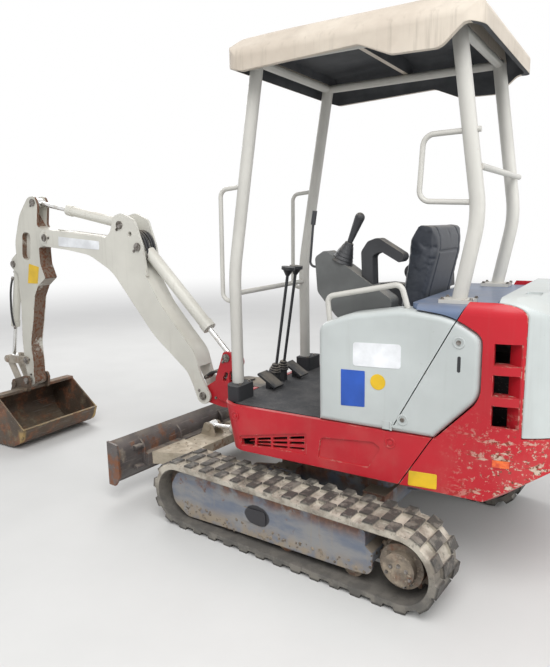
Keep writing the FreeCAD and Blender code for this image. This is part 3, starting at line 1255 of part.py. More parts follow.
def console_left_controls():
    """Joystick and the safety lever on the left console."""
    y = SEAT_HALF + CONSOLE_TO_SEAT + CONSOLE_WIDTH / 2
    box_body = console_left()
    stick = joystick(-66.0, 1362.0, y + 5, 24.0).cut(box_body)
    lever = tube([(20.0, y, 1336.0), (100.0, y, 1336.0), (80.0, y, 1540.0)], 5.5, 24.0)
    knob = rod((82.0, y, 1526.0), (72.0, y, 1588.0), 11.0)
    rest = prism([(-176.0, 1270.0), (-170.0, 1408.0, 30.0), (-200.0, 1452.0, 30.0), (-246.0, 1468.0, 30.0),
                  (-374.0, 1392.0, 20.0), (-348.0, 1360.0, 15.0), (-262.0, 1408.0, 25.0), (-222.0, 1392.0,
                                                                                           20.0),
                  (-228.0, 1240.0)], "xz", y - 32, y + 32)
    return Part.makeCompound([stick, fuse(lever, knob).cut(box_body), rest.cut(box_body)])


def console_mount():
    """Bracket on the seat base with the pin that the left console tilts on."""
    px, pz = CONSOLE_PIVOT
    inner = SEAT_HALF + 40
    plate = prism([(-330.0, SEAT_BASE_TOP), (px - 30, pz + 26, 26.0), (px + 30, pz + 26, 26.0),
                   (-230.0, SEAT_BASE_TOP)], "xz", inner - 12, inner)
    return fuse(plate, rod_y(px, pz, 8.0, inner - 10, inner + 102))


def console_right():
    """Fixed control box on the right with a padded arm."""
    outline = [(-395.0, SEAT_BASE_TOP), (-395.0, 1180.0, 40.0), (-60.0, 1212.0, 40.0), (142.0, 1190.0, 40.0),
               (110.0, 1060.0, 40.0), (-60.0, SEAT_BASE_TOP)]
    return prism(outline, "xz", -SEAT_HALF - 130, -SEAT_HALF - 40 - PIN_GAP)


def console_right_controls():
    y = -SEAT_HALF - 88
    rest = prism([(-385.0, 1205.0), (-380.0, 1280.0, 20.0), (-200.0, 1325.0, 40.0), (-120.0, 1290.0, 40.0),
                  (-150.0, 1240.0, 20.0), (-300.0, 1188.0)], "xz", y - 38, y + 38)
    rest = rest.cut(console_right())
    return Part.makeCompound([rest, joystick(80.0, 1192.0, y, 8.0).cut(console_right())])


def travel_levers():
    """Two travel levers on a pedestal, with foot pedals beside them."""
    solids = []
    for side in (1, -1):
        y = side * LEVER_Y
        stem = rod((484.0, y, DECK_TOP + 20), (385.0, y, 1290.0), 8.0)
        cap = Part.makeCone(10.0, 30.0, 34.0, Vec(390.0, y, 1262.0), Vec(-0.16, 0, 1))
        top = rod((385.0, y, 1294.0), (383.0, y, 1310.0), 36.0)
        foot = box(462.0, 502.0, y - 18, y + 18, DECK_TOP, DECK_TOP + 70)
        solids.append(fuse(stem, cap, top, foot))
        y = side * PEDAL_Y
        pedal = prism([(392.0, DECK_TOP + 22), (498.0, DECK_TOP + 88), (504.0, DECK_TOP + 78),
                       (398.0, DECK_TOP + 12)],
                      "xz", y - 45, y + 45)
        solids.append(fuse(pedal, box(440.0, 470.0, y - 14, y + 14, DECK_TOP, DECK_TOP + 50)))
    return Part.makeCompound(solids)


def post_route(y):
    return [(FRONT_POST_X, y, DECK_TOP + 78), (FRONT_POST_X, y, 1300.0),
            (FRONT_POST_TOP_X, y, ROOF_POST_TOP - 20)]


def rear_post_route(y):
    return [(REAR_POST_X, y, TOP_COVER_Z), (REAR_KNEE_X, y, 1551.0), (REAR_POST_TOP_X, y, ROOF_POST_TOP - 20)]


def canopy_frame():
    """Four bent posts with their feet, cross rails, roof bearers and the grab loops."""
    pieces = []
    bearer = ROOF_POST_TOP - 20
    for sign in (1, -1):
        y = sign * POST_Y
        pieces.append(tube(post_route(y), POST_R, 900.0))
        pieces.append(tube(rear_post_route(y), POST_R, 500.0))
        pieces.append(box(REAR_POST_X - 62, REAR_POST_X + 70, y - 50, y + 50, TOP_COVER_Z - 8,
                          TOP_COVER_Z + 8))
        pieces.append(rod((FRONT_POST_TOP_X + 20, y, bearer), (REAR_POST_TOP_X - 20, y, bearer), 20.0))
        pieces.append(tube([(FRONT_POST_X, y, 1150.0), (FRONT_POST_X + 78, y, 1165.0),
                            (FRONT_POST_X + 70, y, 1700.0),
                            (FRONT_POST_X - 60, y, 1712.0)], 11.0, 40.0))
    y = POST_Y
    pieces.append(tube([(REAR_KNEE_X + 5, y, 1600.0), (-420.0, y, 1612.0), (-435.0, y, 1868.0),
                        (REAR_KNEE_X + 5, y, 1872.0)], 11.0, 45.0))
    pieces.append(rod((FRONT_POST_X, -POST_Y, 1196.0), (FRONT_POST_X, POST_Y, 1196.0), 13.0))
    pieces.append(rod((REAR_KNEE_X, -POST_Y - 60, 1735.0), (REAR_KNEE_X, POST_Y, 1735.0), 13.0))
    for x in (FRONT_POST_TOP_X, REAR_POST_TOP_X):
        pieces.append(rod((x, -POST_Y, bearer), (x, POST_Y, bearer), 20.0))
    return fuse(*pieces)


def post_feet():
    """Rubber-faced blocks that the front posts stand on."""
    front = FRONT_POST_X + POST_R + 4
    foot = prism([(FRONT_POST_X - 60, POST_Y - 55, 12.0), (FRONT_POST_X - 60, POST_Y + 88, 12.0),
                  (front, POST_Y + 88, 60.0), (front, POST_Y - 55, 12.0)], "xy", DECK_TOP, DECK_TOP + 78)
    return both_sides(foot)


def roof_form(inset):
    top = ROOF_TOP - inset
    low = ROOF_SKIRT - 95
    ahead, behind = ROOF_FRONT - inset, ROOF_REAR + inset
    side = [(ahead, low), (ahead, top - 85, 40.0), (ahead - 60, top - 35, 60.0), (-200.0, top, 900.0),
            (behind + 70, top - 25, 60.0), (behind, top - 85, 40.0), (behind, low)]
    half = ROOF_HALF - inset
    front = [(-half, low), (-half, top - 100, 60.0), (-half + 90, top - 15, 120.0), (0.0, top + 5),
             (half - 90, top - 15, 120.0), (half, top - 100, 60.0), (half, low)]
    plan = [(ROOF_FRONT - inset, -half, 70.0), (ROOF_FRONT - inset, half, 70.0),
            (ROOF_REAR + inset, half, 70.0), (ROOF_REAR + inset, -half, 70.0)]
    body = prism(side, "xz", -ROOF_HALF - 100, ROOF_HALF + 100)
    return body.common(prism(front, "yz", ROOF_REAR - 100, ROOF_FRONT + 100)).common(prism(plan, "xy", low,
                                                                                           ROOF_TOP + 80))


def canopy_roof():
    """Moulded roof: a deep skirt with a dropped lobe round each rear post and arches beside it."""
    shell = roof_form(0.0).cut(roof_form(ROOF_THICK))
    low = ROOF_SKIRT - 96
    under = [(ROOF_FRONT + 50, low), (ROOF_FRONT + 50, ROOF_SKIRT + 37),
             (ROOF_FRONT - 90, ROOF_SKIRT - 9, 60.0),
             (ROOF_REAR + 470, ROOF_SKIRT + 12, 60.0), (ROOF_REAR + 340, ROOF_SKIRT - 44, 60.0),
             (ROOF_REAR + 150, ROOF_SKIRT - 50, 60.0), (ROOF_REAR + 62, ROOF_SKIRT + 26, 40.0),
             (ROOF_REAR - 50, ROOF_SKIRT + 8), (ROOF_REAR - 50, low)]
    shell = shell.cut(prism(under, "xz", -ROOF_HALF - 100, ROOF_HALF + 100))
    inside = roof_form(ROOF_THICK - 4)
    ribs = [inside.common(box(x - 12, x + 12, -ROOF_HALF, ROOF_HALF, ROOF_POST_TOP + PIN_GAP, ROOF_TOP + 30))
            for x in (FRONT_POST_TOP_X, -100.0, REAR_POST_TOP_X)]
    return fuse(shell, *ribs)


def cover_handrail():
    y = UPPER_HALF - 50
    rail = tube([(-62.0, y, 1088.0), (-48.0, y, 1216.0), (-385.0, y, 1282.0), (-420.0, y, 1170.0)], 12.0,
                32.0)
    return rail.cut(cover_solid(0, UPPER_HALF - SIDE_COVER_DEPTH, UPPER_HALF))


def build_all():
    track = track_left()
    save("track_left", turned(track))
    save("track_right", turned(mirrored(track)))
    frame_side = track_frame_left()
    save("track_frame_left", turned(frame_side))
    save("track_frame_right", turned(mirrored(frame_side)))
    wheels = rollers_left()
    save("rollers_left", turned(wheels))
    save("rollers_right", turned(mirrored(wheels)))
    drive = final_drive_left()
    save("final_drive_left", turned(drive))
    save("final_drive_right", turned(mirrored(drive)))
    save("undercarriage_frame", turned(fuse(undercarriage_frame(), *blade_pins())))
    save("slew_ring_lower", slew_ring_lower())
    save("slew_ring_upper", slew_ring_upper())
    save("blade_board", turned(blade_board()))
    wing = blade_wing_left()
    save("blade_wing_left", turned(wing))
    save("blade_wing_right", turned(mirrored(wing)))
    save("blade_arms", turned(blade_arms()))
    for name in CYLINDERS:
        outer, inner = make_cylinder(name)
        if name == "blade_cylinder":
            outer, inner = turned(outer), turned(inner)
        save(name + "_barrel", outer)
        save(name + "_rod", inner)
    save("swing_bracket", swing_bracket())
    save("bracket_pins", bracket_pins())
    save("boom", boom())
    save("boom_pins", boom_pins())
    save("arm", arm())
    save("arm_pins", arm_pins())
    save("rocker_links", rocker_links())
    save("push_link", push_link())
    save("bucket", fuse(bucket(), bucket_pins()))
    skirt = skirt_left()
    save("skirt_left", skirt)
    save("skirt_right", mirrored(skirt))
    save("upper_frame", fuse(upper_frame(), swing_pin()))
    save("floor_mat", floor_mat())
    save("counterweight", counterweight())
    save("side_cover_left", side_cover_left())
    save("side_door", side_door())
    save("side_cover_right", side_cover_right())
    save("rear_lamps", rear_lamps())
    save("rear_hood", rear_hood())
    save("top_cover", top_cover())
    save("engine_block", engine_block())
    save("seat_base", fuse(seat_base(), console_mount()))
    save("seat_cushion", seat_cushion())
    save("seat_back", seat_back())
    save("console_left", console_left())
    save("console_left_controls", console_left_controls())
    save("console_right", console_right())
    save("console_right_controls", console_right_controls())
    save("travel_levers", travel_levers())
    save("canopy_frame", canopy_frame())
    save("post_feet", post_feet())
    save("canopy_roof", canopy_roof())
    save("cover_handrail", cover_handrail())


build_all()
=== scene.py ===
# %% [markdown]
# A compact tracked excavator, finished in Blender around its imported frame. The frame holds every steel
# piece at its real place. This file gives each surface its finish, and adds what a frame leaves out:
# padding, rubber boots, bolts, weld beads, blank plates and dried mud.

# %% Load the frame
import json
import math
import random

import bmesh
import bpy
from mathutils import Matrix, Vector
from mathutils.bvhtree import BVHTree


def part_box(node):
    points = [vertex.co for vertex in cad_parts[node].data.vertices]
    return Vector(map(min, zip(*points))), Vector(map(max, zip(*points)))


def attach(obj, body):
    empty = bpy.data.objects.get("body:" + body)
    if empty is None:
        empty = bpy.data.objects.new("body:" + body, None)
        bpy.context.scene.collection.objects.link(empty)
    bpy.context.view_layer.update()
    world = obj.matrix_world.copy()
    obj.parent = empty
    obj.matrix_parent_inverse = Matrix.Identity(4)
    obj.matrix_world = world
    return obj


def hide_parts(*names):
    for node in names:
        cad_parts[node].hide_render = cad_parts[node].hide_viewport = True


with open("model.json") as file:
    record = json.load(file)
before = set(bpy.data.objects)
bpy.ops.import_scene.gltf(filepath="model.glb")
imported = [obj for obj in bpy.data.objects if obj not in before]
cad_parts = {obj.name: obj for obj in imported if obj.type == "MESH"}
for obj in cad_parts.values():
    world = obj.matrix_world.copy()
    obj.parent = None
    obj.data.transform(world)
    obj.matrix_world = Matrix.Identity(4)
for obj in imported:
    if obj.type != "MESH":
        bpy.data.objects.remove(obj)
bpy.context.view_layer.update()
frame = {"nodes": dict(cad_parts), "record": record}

nodes = frame["nodes"]

# %% [markdown]
# The camera comes first. The picture looks at the machine from behind its left side, with the lens at about
# the height of the seat back. A camera could be placed by eye, but this one's place and turn come from
# fitting known corners of the machine, so that the render can be laid over the picture. A lens is given in
# millimetres on a 36 mm wide sensor that spans the picture's long side.

# %% Camera
PICTURE = (550, 667)
FOCAL_PIXELS = 602.1
PRINCIPAL_POINT = (278.5, 341.0)
CAMERA_PLACE = Vector((-1.241, 2.798, 1.53))
CAMERA_YAW, CAMERA_PITCH, CAMERA_ROLL = (math.radians(a) for a in (-58.42, -10.95, 1.09))
SENSOR = 36.0


def make_camera():
    """Camera at the picture's viewpoint, with the picture's own framing."""
    data = bpy.data.cameras.new("camera")
    data.sensor_width = SENSOR
    data.lens = FOCAL_PIXELS * SENSOR / max(PICTURE)
    data.shift_x = -(PRINCIPAL_POINT[0] - PICTURE[0] / 2) / max(PICTURE)
    data.shift_y = (PRINCIPAL_POINT[1] - PICTURE[1] / 2) / max(PICTURE)
    camera = bpy.data.objects.new("camera", data)
    bpy.context.scene.collection.objects.link(camera)
    ahead = Vector((math.cos(CAMERA_YAW) * math.cos(CAMERA_PITCH),
                    math.sin(CAMERA_YAW) * math.cos(CAMERA_PITCH), math.sin(CAMERA_PITCH)))
    side = Vector((math.sin(CAMERA_YAW), -math.cos(CAMERA_YAW), 0.0))
    top = side.cross(ahead)
    turned = Matrix.Rotation(CAMERA_ROLL, 3, ahead)
    side, top = turned @ side, turned @ top
    camera.matrix_world = Matrix((
        (side.x, top.x, -ahead.x, CAMERA_PLACE.x), (side.y, top.y, -ahead.y, CAMERA_PLACE.y),
        (side.z, top.z, -ahead.z, CAMERA_PLACE.z), (0.0, 0.0, 0.0, 1.0)))
    bpy.context.scene.camera = camera
    return camera


camera = make_camera()
print("camera: lens", round(camera.data.lens, 2), "mm")

# %% [markdown]
# Every finish below is a small recipe of shader nodes. Nodes could be placed and linked one by one, but
# written as Python sums a recipe stays readable: `Signal` wraps one socket, and each operator on it adds
# one Math node. `Recipe` is any node tree, and its `node` call adds any other node, with its settings first
# and its sockets second.

# %% Sums of sockets
class Signal:
    """A socket that Python's operators can use."""

    def __init__(self, recipe, socket):
        self.recipe = recipe
        self.socket = socket

    def math(self, operation, first, second):
        return self.recipe.node("ShaderNodeMath", {"operation": operation}, {0: first, 1: second})

    def __add__(self, other):
        return self.math("ADD", self, other)

    def __sub__(self, other):
        return self.math("SUBTRACT", self, other)

    def __rsub__(self, other):
        return self.math("SUBTRACT", other, self)

    def __mul__(self, other):
        return self.math("MULTIPLY", self, other)

    __radd__ = __add__
    __rmul__ = __mul__

    def most(self, other):
        """The larger of two values."""
        return self.math("MAXIMUM", self, other)

    def size(self):
        """The value without its sign."""
        return self.math("ABSOLUTE", self, 0.0)

    def power(self, exponent):
        return self.math("POWER", self, exponent)

    def rise(self, low, high):
        """0 below low, 1 above high, and a smooth step between them."""
        settings = {"interpolation_type": "SMOOTHSTEP"}
        return self.recipe.node("ShaderNodeMapRange", settings, {0: self, 1: low, 2: high, 3: 0.0, 4: 1.0})


class Recipe:
    """A node tree with one call that adds any node."""

    def __init__(self, tree):
        self.tree = tree
        self.tree.nodes.clear()

    def node(self, kind, settings=None, sockets=None, output=0):
        """Add a node of a kind, and give back one of its outputs."""
        made = self.tree.nodes.new(kind)
        for key, value in (settings or {}).items():
            setattr(made, key, value)
        for key, value in (sockets or {}).items():
            if isinstance(value, Signal):
                self.tree.links.new(value.socket, made.inputs[key])
            else:
                made.inputs[key].default_value = value
        return Signal(self, made.outputs[output]) if made.outputs else None


print("helpers: Signal, Recipe")

# %% [markdown]
# A finish is a recipe for one material. All of them ask the same things of a surface: where it is, which
# way it faces, whether an edge is near, and what pattern lies there. `Finish` gives those a short name
# each, and in the recipes `f` is the finish that is being made. Places are in metres on the machine, so one
# pattern fits all sizes.

# %% One finish
BEVEL_SAMPLES = 4


class Finish(Recipe):
    """One material: where the surface is, which way it faces, and the patterns that wear is made of."""

    def __init__(self, name):
        self.material = bpy.data.materials.new(name)
        self.material.use_nodes = True
        super().__init__(self.material.node_tree)
        self.place = self.node("ShaderNodeTexCoord", output="Object")
        self.facing = self.node("ShaderNodeTexCoord", output="Normal")
        self.x, self.y, self.z = (self.axis(self.place, i) for i in range(3))
        self.up = self.axis(self.facing, 2)

    def axis(self, vector, index):
        return self.node("ShaderNodeSeparateXYZ", None, {0: vector}, output=index)

    def noise(self, scale, detail=3.0, rough=0.55, at=None):
        """Cloud pattern round 0.5, with `scale` lumps to the metre."""
        sockets = {"Vector": at or self.place, "Scale": scale, "Detail": detail, "Roughness": rough}
        return self.node("ShaderNodeTexNoise", None, sockets)

    def stretched(self, scale, detail=3.0, rough=0.55, turn=(0.0, 0.0, 0.0)):
        """Cloud pattern with its own scale along each axis, for runs and scratches."""
        at = self.node("ShaderNodeMapping", None, {"Vector": self.place, "Rotation": turn, "Scale": scale})
        return self.noise(1.0, detail, rough, at)

    def mix(self, factor, first, second):
        """Colour between two colours."""
        return self.node("ShaderNodeMix", {"data_type": "RGBA"}, {0: factor, 6: first, 7: second}, output=2)

    def along(self, first, second):
        """How far two directions agree: their dot product."""
        settings = {"operation": "DOT_PRODUCT"}
        return self.node("ShaderNodeVectorMath", settings, {0: first, 1: second}, output="Value")

    def rounded(self, radius):
        """Normal of the surface as if its edges were rounded by a radius."""
        return self.node("ShaderNodeBevel", {"samples": BEVEL_SAMPLES}, {"Radius": radius})

    def edges(self, radius, low=0.04, high=0.4):
        """Mask of the edges within a radius, from how far a rounded normal leaves the flat one."""
        flat = self.node("ShaderNodeNewGeometry", output="Normal")
        return (1.0 - self.along(self.rounded(radius), flat)).rise(low, high)

    def bumped(self, height, depth, round_edges=0.0):
        """Normal with a height pattern, on edges rounded by a radius."""
        sockets = {"Height": height, "Distance": depth, "Strength": 1.0}
        if round_edges:
            sockets["Normal"] = self.rounded(round_edges)
        return self.node("ShaderNodeBump", None, sockets)

    def close(self, **sockets):
        """End the recipe with a Principled shader: a name's _ stands for the blank of its socket."""
        values = {key.replace("_", " "): value for key, value in sockets.items()}
        shader = self.node("ShaderNodeBsdfPrincipled", None, values)
        self.node("ShaderNodeOutputMaterial", None, {"Surface": shader})
        return self.material


def shade(colour, factor):
    """Linear colour made darker or lighter by a factor."""
    return (*[min(1.0, c * factor) for c in colour[:3]], 1.0)


print("helpers: Finish, shade")

# %% [markdown]
# The floor is a plain pale plane that keeps the machine's shadow. A curved backdrop would hide the far edge
# too, but here the plane simply turns white with distance. It does so only for what the camera, a mirror or
# glass sees, through Light Path, so the background doesn't light the machine.

# %% Floor
FLOOR_HALF = 40.0
# distances from the middle between which the floor turns white
FLOOR_FADES = (3.5, 16.0)
FLOOR_COLOUR = (0.60, 0.60, 0.585, 1.0)
WHITE = (1.0, 1.0, 1.0, 1.0)


def seen_directly(recipe):
    """1 for rays from the camera, a mirror or glass, and 0 for the rays that carry light."""
    flags = [recipe.node("ShaderNodeLightPath", output=name)
             for name in ("Is Camera Ray", "Is Glossy Ray", "Is Transmission Ray")]
    return flags[0].most(flags[1]).most(flags[2])


def make_floor():
    """Pale plane that fades to white away from the machine."""
    mesh = bpy.data.meshes.new("floor")
    half = FLOOR_HALF
    corners = [(-half, -half, 0), (half, -half, 0), (half, half, 0), (-half, half, 0)]
    mesh.from_pydata(corners, [], [(0, 1, 2, 3)])
    floor = bpy.data.objects.new("floor", mesh)
    bpy.context.scene.collection.objects.link(floor)
    f = Finish("floor_paint")
    dust = f.noise(1.7, 5.0).rise(0.3, 0.7)
    tone = f.mix(dust, shade(FLOOR_COLOUR, 0.96), FLOOR_COLOUR)
    matte = f.node("ShaderNodeBsdfPrincipled", None, {"Base Color": tone, "Roughness": 0.9})
    glow = f.node("ShaderNodeEmission", None, {"Color": WHITE, "Strength": 1.0})
    away = f.node("ShaderNodeVectorMath", {"operation": "LENGTH"}, {0: f.place}, output="Value")
    far = away.rise(*FLOOR_FADES)
    both = f.node("ShaderNodeMixShader", None, {0: far * seen_directly(f), 1: matte, 2: glow})
    f.node("ShaderNodeOutputMaterial", None, {"Surface": both})
    mesh.materials.append(f.material)


make_floor()
print("floor:", 2 * FLOOR_HALF, "m across")

# %% [markdown]
# The sky is a thin even cloud, so the world is one pale grey, a little bluer than neutral. A picture of a
# sky would put its own colours on the paint. The camera sees white instead, again through Light Path.

# %% World
WORLD_GREY = 0.62
WORLD_BLUER = 1.03


def make_world():
    """Grey light all round, with white where the camera looks at it."""
    world = bpy.data.worlds.new("studio")
    world.use_nodes = True
    bpy.context.scene.world = world
    recipe = Recipe(world.node_tree)
    grey = (WORLD_GREY, WORLD_GREY, WORLD_GREY * WORLD_BLUER, 1.0)
    light = recipe.node("ShaderNodeBackground", None, {"Color": grey, "Strength": 1.0})
    white = recipe.node("ShaderNodeBackground", None, {"Color": WHITE, "Strength": 1.0})
    both = recipe.node("ShaderNodeMixShader", None, {0: seen_directly(recipe), 1: light, 2: white})
    recipe.node("ShaderNodeOutputWorld", None, {"Surface": both})


make_world()
print("world: grey", WORLD_GREY)

# %% [markdown]
# Daylight under thin cloud is soft and comes from above. A sun lamp would draw hard shadows, so three large
# round lamps stand in for it: one over the left side, one behind and a weaker one in front, all aimed at
# the machine's middle. They are kept low enough that a colour renders about as it is written.

# %% Lamps
LAMP_TARGET = Vector((0.6, 0.0, 0.8))
# name, place, size, power in watts
LAMPS = [
    ("lamp_sky", (-1.6, 3.6, 5.6), 5.0, 330.0),
    ("lamp_side", (-5.5, 0.5, 3.0), 4.0, 120.0),
    ("lamp_front", (5.0, -3.0, 4.5), 4.0, 170.0),
]


def make_lamps():
    """Large round lamps that look at the machine's middle."""
    for name, place, size, power in LAMPS:
        data = bpy.data.lights.new(name, "AREA")
        data.shape = "DISK"
        data.size = size
        data.energy = power
        lamp = bpy.data.objects.new(name, data)
        lamp.location = place
        lamp.rotation_euler = (LAMP_TARGET - Vector(place)).to_track_quat("-Z", "Y").to_euler()
        bpy.context.scene.collection.objects.link(lamp)


make_lamps()
bpy.context.scene.view_settings.view_transform = "Standard"
print("lamps:", len(LAMPS))

# %% [markdown]
# Enamel on a working machine is clouded by washing, dusty where it lies level, streaked where rain runs
# down, and chipped on its edges. One function gives them all, because only the colours and the amounts
# differ. An image could hold such wear, but a pattern in object coordinates needs no unwrapping and stays
# sharp close by.

# %% Painted steel
DUST = (0.36, 0.31, 0.24, 1.0)
RUST = (0.13, 0.052, 0.026, 1.0)


def paint_masks(f, wear, dirt):
    """Chips, dust and rain runs of an enamelled surface, each from 0 to 1."""
    blots = f.noise(19.0, 5.0, 0.62)
    specks = f.noise(120.0, 3.0, 0.6)
    chips = f.edges(0.005) * blots.rise(0.60 - 0.16 * wear, 0.66 - 0.12 * wear)
    chips = chips.most(specks.rise(0.69, 0.72) * blots.rise(0.52, 0.6) * wear)
    level = f.up.rise(0.35, 1.0) * (0.35 + 0.65 * f.noise(9.0, 4.0).rise(0.35, 0.65))
    low = (1.0 - f.z.rise(0.35, 1.0)) * f.noise(6.0, 5.0, 0.6).rise(0.42, 0.7)
    dust = (level * dirt).most(low * (dirt * 0.7))
    upright = 1.0 - f.up.size().rise(0.5, 0.9)
    runs = f.stretched((34.0, 34.0, 1.6), 4.0, 0.6).rise(0.56, 0.78) * upright * dirt
    return chips, dust, runs


def painted(name, colour, bare, gloss=0.34, wear=0.5, dirt=0.35, scuffs=None):
    """Enamel of a colour, with what shows where it is chipped; scuffs adds a mask of its own."""
    f = Finish(name)
    chips, dust, runs = paint_masks(f, wear, dirt)
    if scuffs:
        chips = chips.most(scuffs(f))
    colour = (*colour, 1.0)
    tone = f.mix(f.noise(2.3, 4.0).rise(0.32, 0.68), shade(colour, 0.88), shade(colour, 1.04))
    tone = f.mix(runs * 0.45, tone, shade(DUST, 0.55))
    tone = f.mix(dust, tone, DUST)
    under = f.mix(f.noise(60.0, 3.0).rise(0.48, 0.58), (*bare, 1.0), RUST)
    tone = f.mix(chips, tone, under)
    rough = gloss + 0.12 * f.noise(30.0, 4.0) + 0.35 * dust + 0.3 * chips
    height = f.noise(420.0, 2.0) * 0.12 - chips
    return f.close(Base_Color=tone, Roughness=rough, Normal=f.bumped(height, 0.0004, 0.0022),
                   Coat_Weight=(1.0 - dust.most(chips)) * 0.12, Coat_Roughness=0.12, Specular_IOR_Level=0.32)


print("helpers: paint_masks, painted")

# %% [markdown]
# Two painted pieces wear in a way of their own. The low tail swings into walls and kerbs, which scrape it
# in long level strokes and knock spots from its ledges. The arm's rear face has lost much of its paint and
# is brown. A separate mesh could carry such damage, but a mask over the same enamel costs no faces.

# %% Enamels
def corner_scuffs(f):
    """Scraped paint low on the tail, and spots on its ledges."""
    backward = 0.0 - f.x
    tail = backward.rise(0.55, 0.85) * (1.0 - f.z.rise(0.62, 0.84))
    scraped = f.stretched((7.0, 7.0, 22.0), 5.0, 0.72).rise(0.535, 0.575)
    spots = f.noise(48.0, 4.0, 0.7).rise(0.57, 0.61)
    shelves = f.up.rise(0.75, 0.95) * backward.rise(0.70, 0.80) * (1.0 - f.z.rise(1.02, 1.10)) * spots
    return (tail * scraped.most(spots * 0.9)).most(shelves)


def rubbed_rear(f):
    """Paint gone to brown steel on the faces that look back at the cab."""
    back = (0.0 - f.axis(f.facing, 0)).rise(0.35, 0.75)
    return back * f.noise(6.0, 6.0, 0.7).rise(0.30, 0.44)


finishes = {
    "red_paint": painted("red_enamel", (0.47, 0.012, 0.022), (0.52, 0.42, 0.33),
                         gloss=0.32, wear=0.7, dirt=0.14, scuffs=corner_scuffs),
    "light_paint": painted("cover_enamel", (0.50, 0.535, 0.525), (0.30, 0.26, 0.20),
                           gloss=0.34, wear=0.25, dirt=0.18),
    "white_paint": painted("boom_enamel", (0.62, 0.61, 0.55), (0.30, 0.22, 0.15),
                           gloss=0.36, wear=0.6, dirt=0.45),
    "grey_paint": painted("blue_grey_enamel", (0.125, 0.170, 0.265), (0.30, 0.27, 0.22),
                          gloss=0.36, wear=0.35, dirt=0.22),
    "post_paint": painted("post_enamel", (0.55, 0.54, 0.50), (0.22, 0.13, 0.08),
                          gloss=0.36, wear=0.45, dirt=0.3),
    "dark_steel": painted("chassis_paint", (0.045, 0.046, 0.05), (0.16, 0.12, 0.09),
                          gloss=0.55, wear=0.5, dirt=0.75),
}
arm_enamel = painted("arm_enamel", (0.56, 0.55, 0.49), (0.16, 0.115, 0.085),
                     gloss=0.38, wear=0.75, dirt=0.5, scuffs=rubbed_rear)
print("painted finishes:", ", ".join(finishes), "and the arm's")

# %% [markdown]
# The track frames lost most of their enamel to stones. Blue-grey steel is left in the middle, rust has come
# from the top and the ends, and dried slurry fills the bottom. The masks follow height, because mud does.
# The dark oval is the port to the track's tensioner; nothing can be seen in it, so the shade in it is painted
# on the plate as a dark oval, a painted shadow and not a hole.

# %% Track frame steel
MUD = (0.32, 0.265, 0.20, 1.0)
BARE_STEEL = ((0.15, 0.175, 0.225, 1.0), (0.26, 0.26, 0.26, 1.0))
ORANGE_RUST = (0.24, 0.10, 0.045, 1.0)
# painted shadow in the tensioner's port
PORT_SHADOW = (0.030, 0.029, 0.033, 1.0)
PORT_X, PORT_Z = 0.232, 0.186
# one over the port's half width and half height
PORT_NARROW, PORT_FLAT = 13.5, 19.0


def track_frame_finish():
    """Blue-grey steel with rust from the top, mud from below and the port's painted shadow."""
    f = Finish("track_frame_steel")
    tone = f.mix(f.stretched((5.0, 5.0, 14.0), 4.0, 0.6).rise(0.35, 0.65), *BARE_STEEL)
    top = f.z.rise(0.215, 0.285) * f.noise(11.0, 5.0, 0.65).rise(0.40, 0.56)
    patches = f.noise(7.0, 6.0, 0.7).rise(0.58, 0.66)
    rust = top.most(patches).most(f.edges(0.006) * f.noise(24.0, 4.0).rise(0.42, 0.6))
    rust_tone = f.mix(f.noise(38.0, 4.0).rise(0.35, 0.65), RUST, ORANGE_RUST)
    tone = f.mix(rust * 0.85, tone, rust_tone)
    runs = f.stretched((30.0, 30.0, 2.2), 4.0, 0.6).rise(0.55, 0.75) * 0.6
    bottom = (1.0 - f.z.rise(0.085, 0.17)) * f.noise(16.0, 5.0).rise(0.34, 0.6)
    mud = (f.up.rise(0.4, 0.9) * 0.95).most(bottom).most(runs * 0.7)
    tone = f.mix(mud, tone, MUD)
    port = ((f.x - PORT_X) * PORT_NARROW).power(2.0) + ((f.z - PORT_Z) * PORT_FLAT).power(2.0)
    port = port + 0.35 * f.noise(34.0, 4.0)
    # painted shadow of the port, on the left frame only
    tone = f.mix((1.0 - port.rise(1.0, 1.22)) * f.y.rise(0.30, 0.40), tone, PORT_SHADOW)
    rough = 0.42 + 0.3 * rust + 0.4 * mud
    height = f.noise(160.0, 4.0) * (0.15 + rust * 0.7 + mud)
    return f.close(Base_Color=tone, Roughness=rough, Metallic=0.0, Normal=f.bumped(height, 0.0009, 0.003))


finishes["frame_steel"] = track_frame_finish()
print("track frame steel: port at", (PORT_X, PORT_Z))

# %% [markdown]
# Blade, bucket, drives and links are working steel: scratched by stones, rusted in clouds, and caked with
# earth where it can lie. One recipe takes the shares of rust and mud, because the real pieces differ in
# little else. Where a piece is rubbed by what it digs, a small function gives the mask and the colour of
# that place.

# %% Muddy steel
STEEL_RUST = (0.22, 0.09, 0.04, 1.0)
SCRATCH_SHINE = (0.34, 0.31, 0.28, 1.0)
EDGE_SHINE = (0.36, 0.30, 0.24, 1.0)


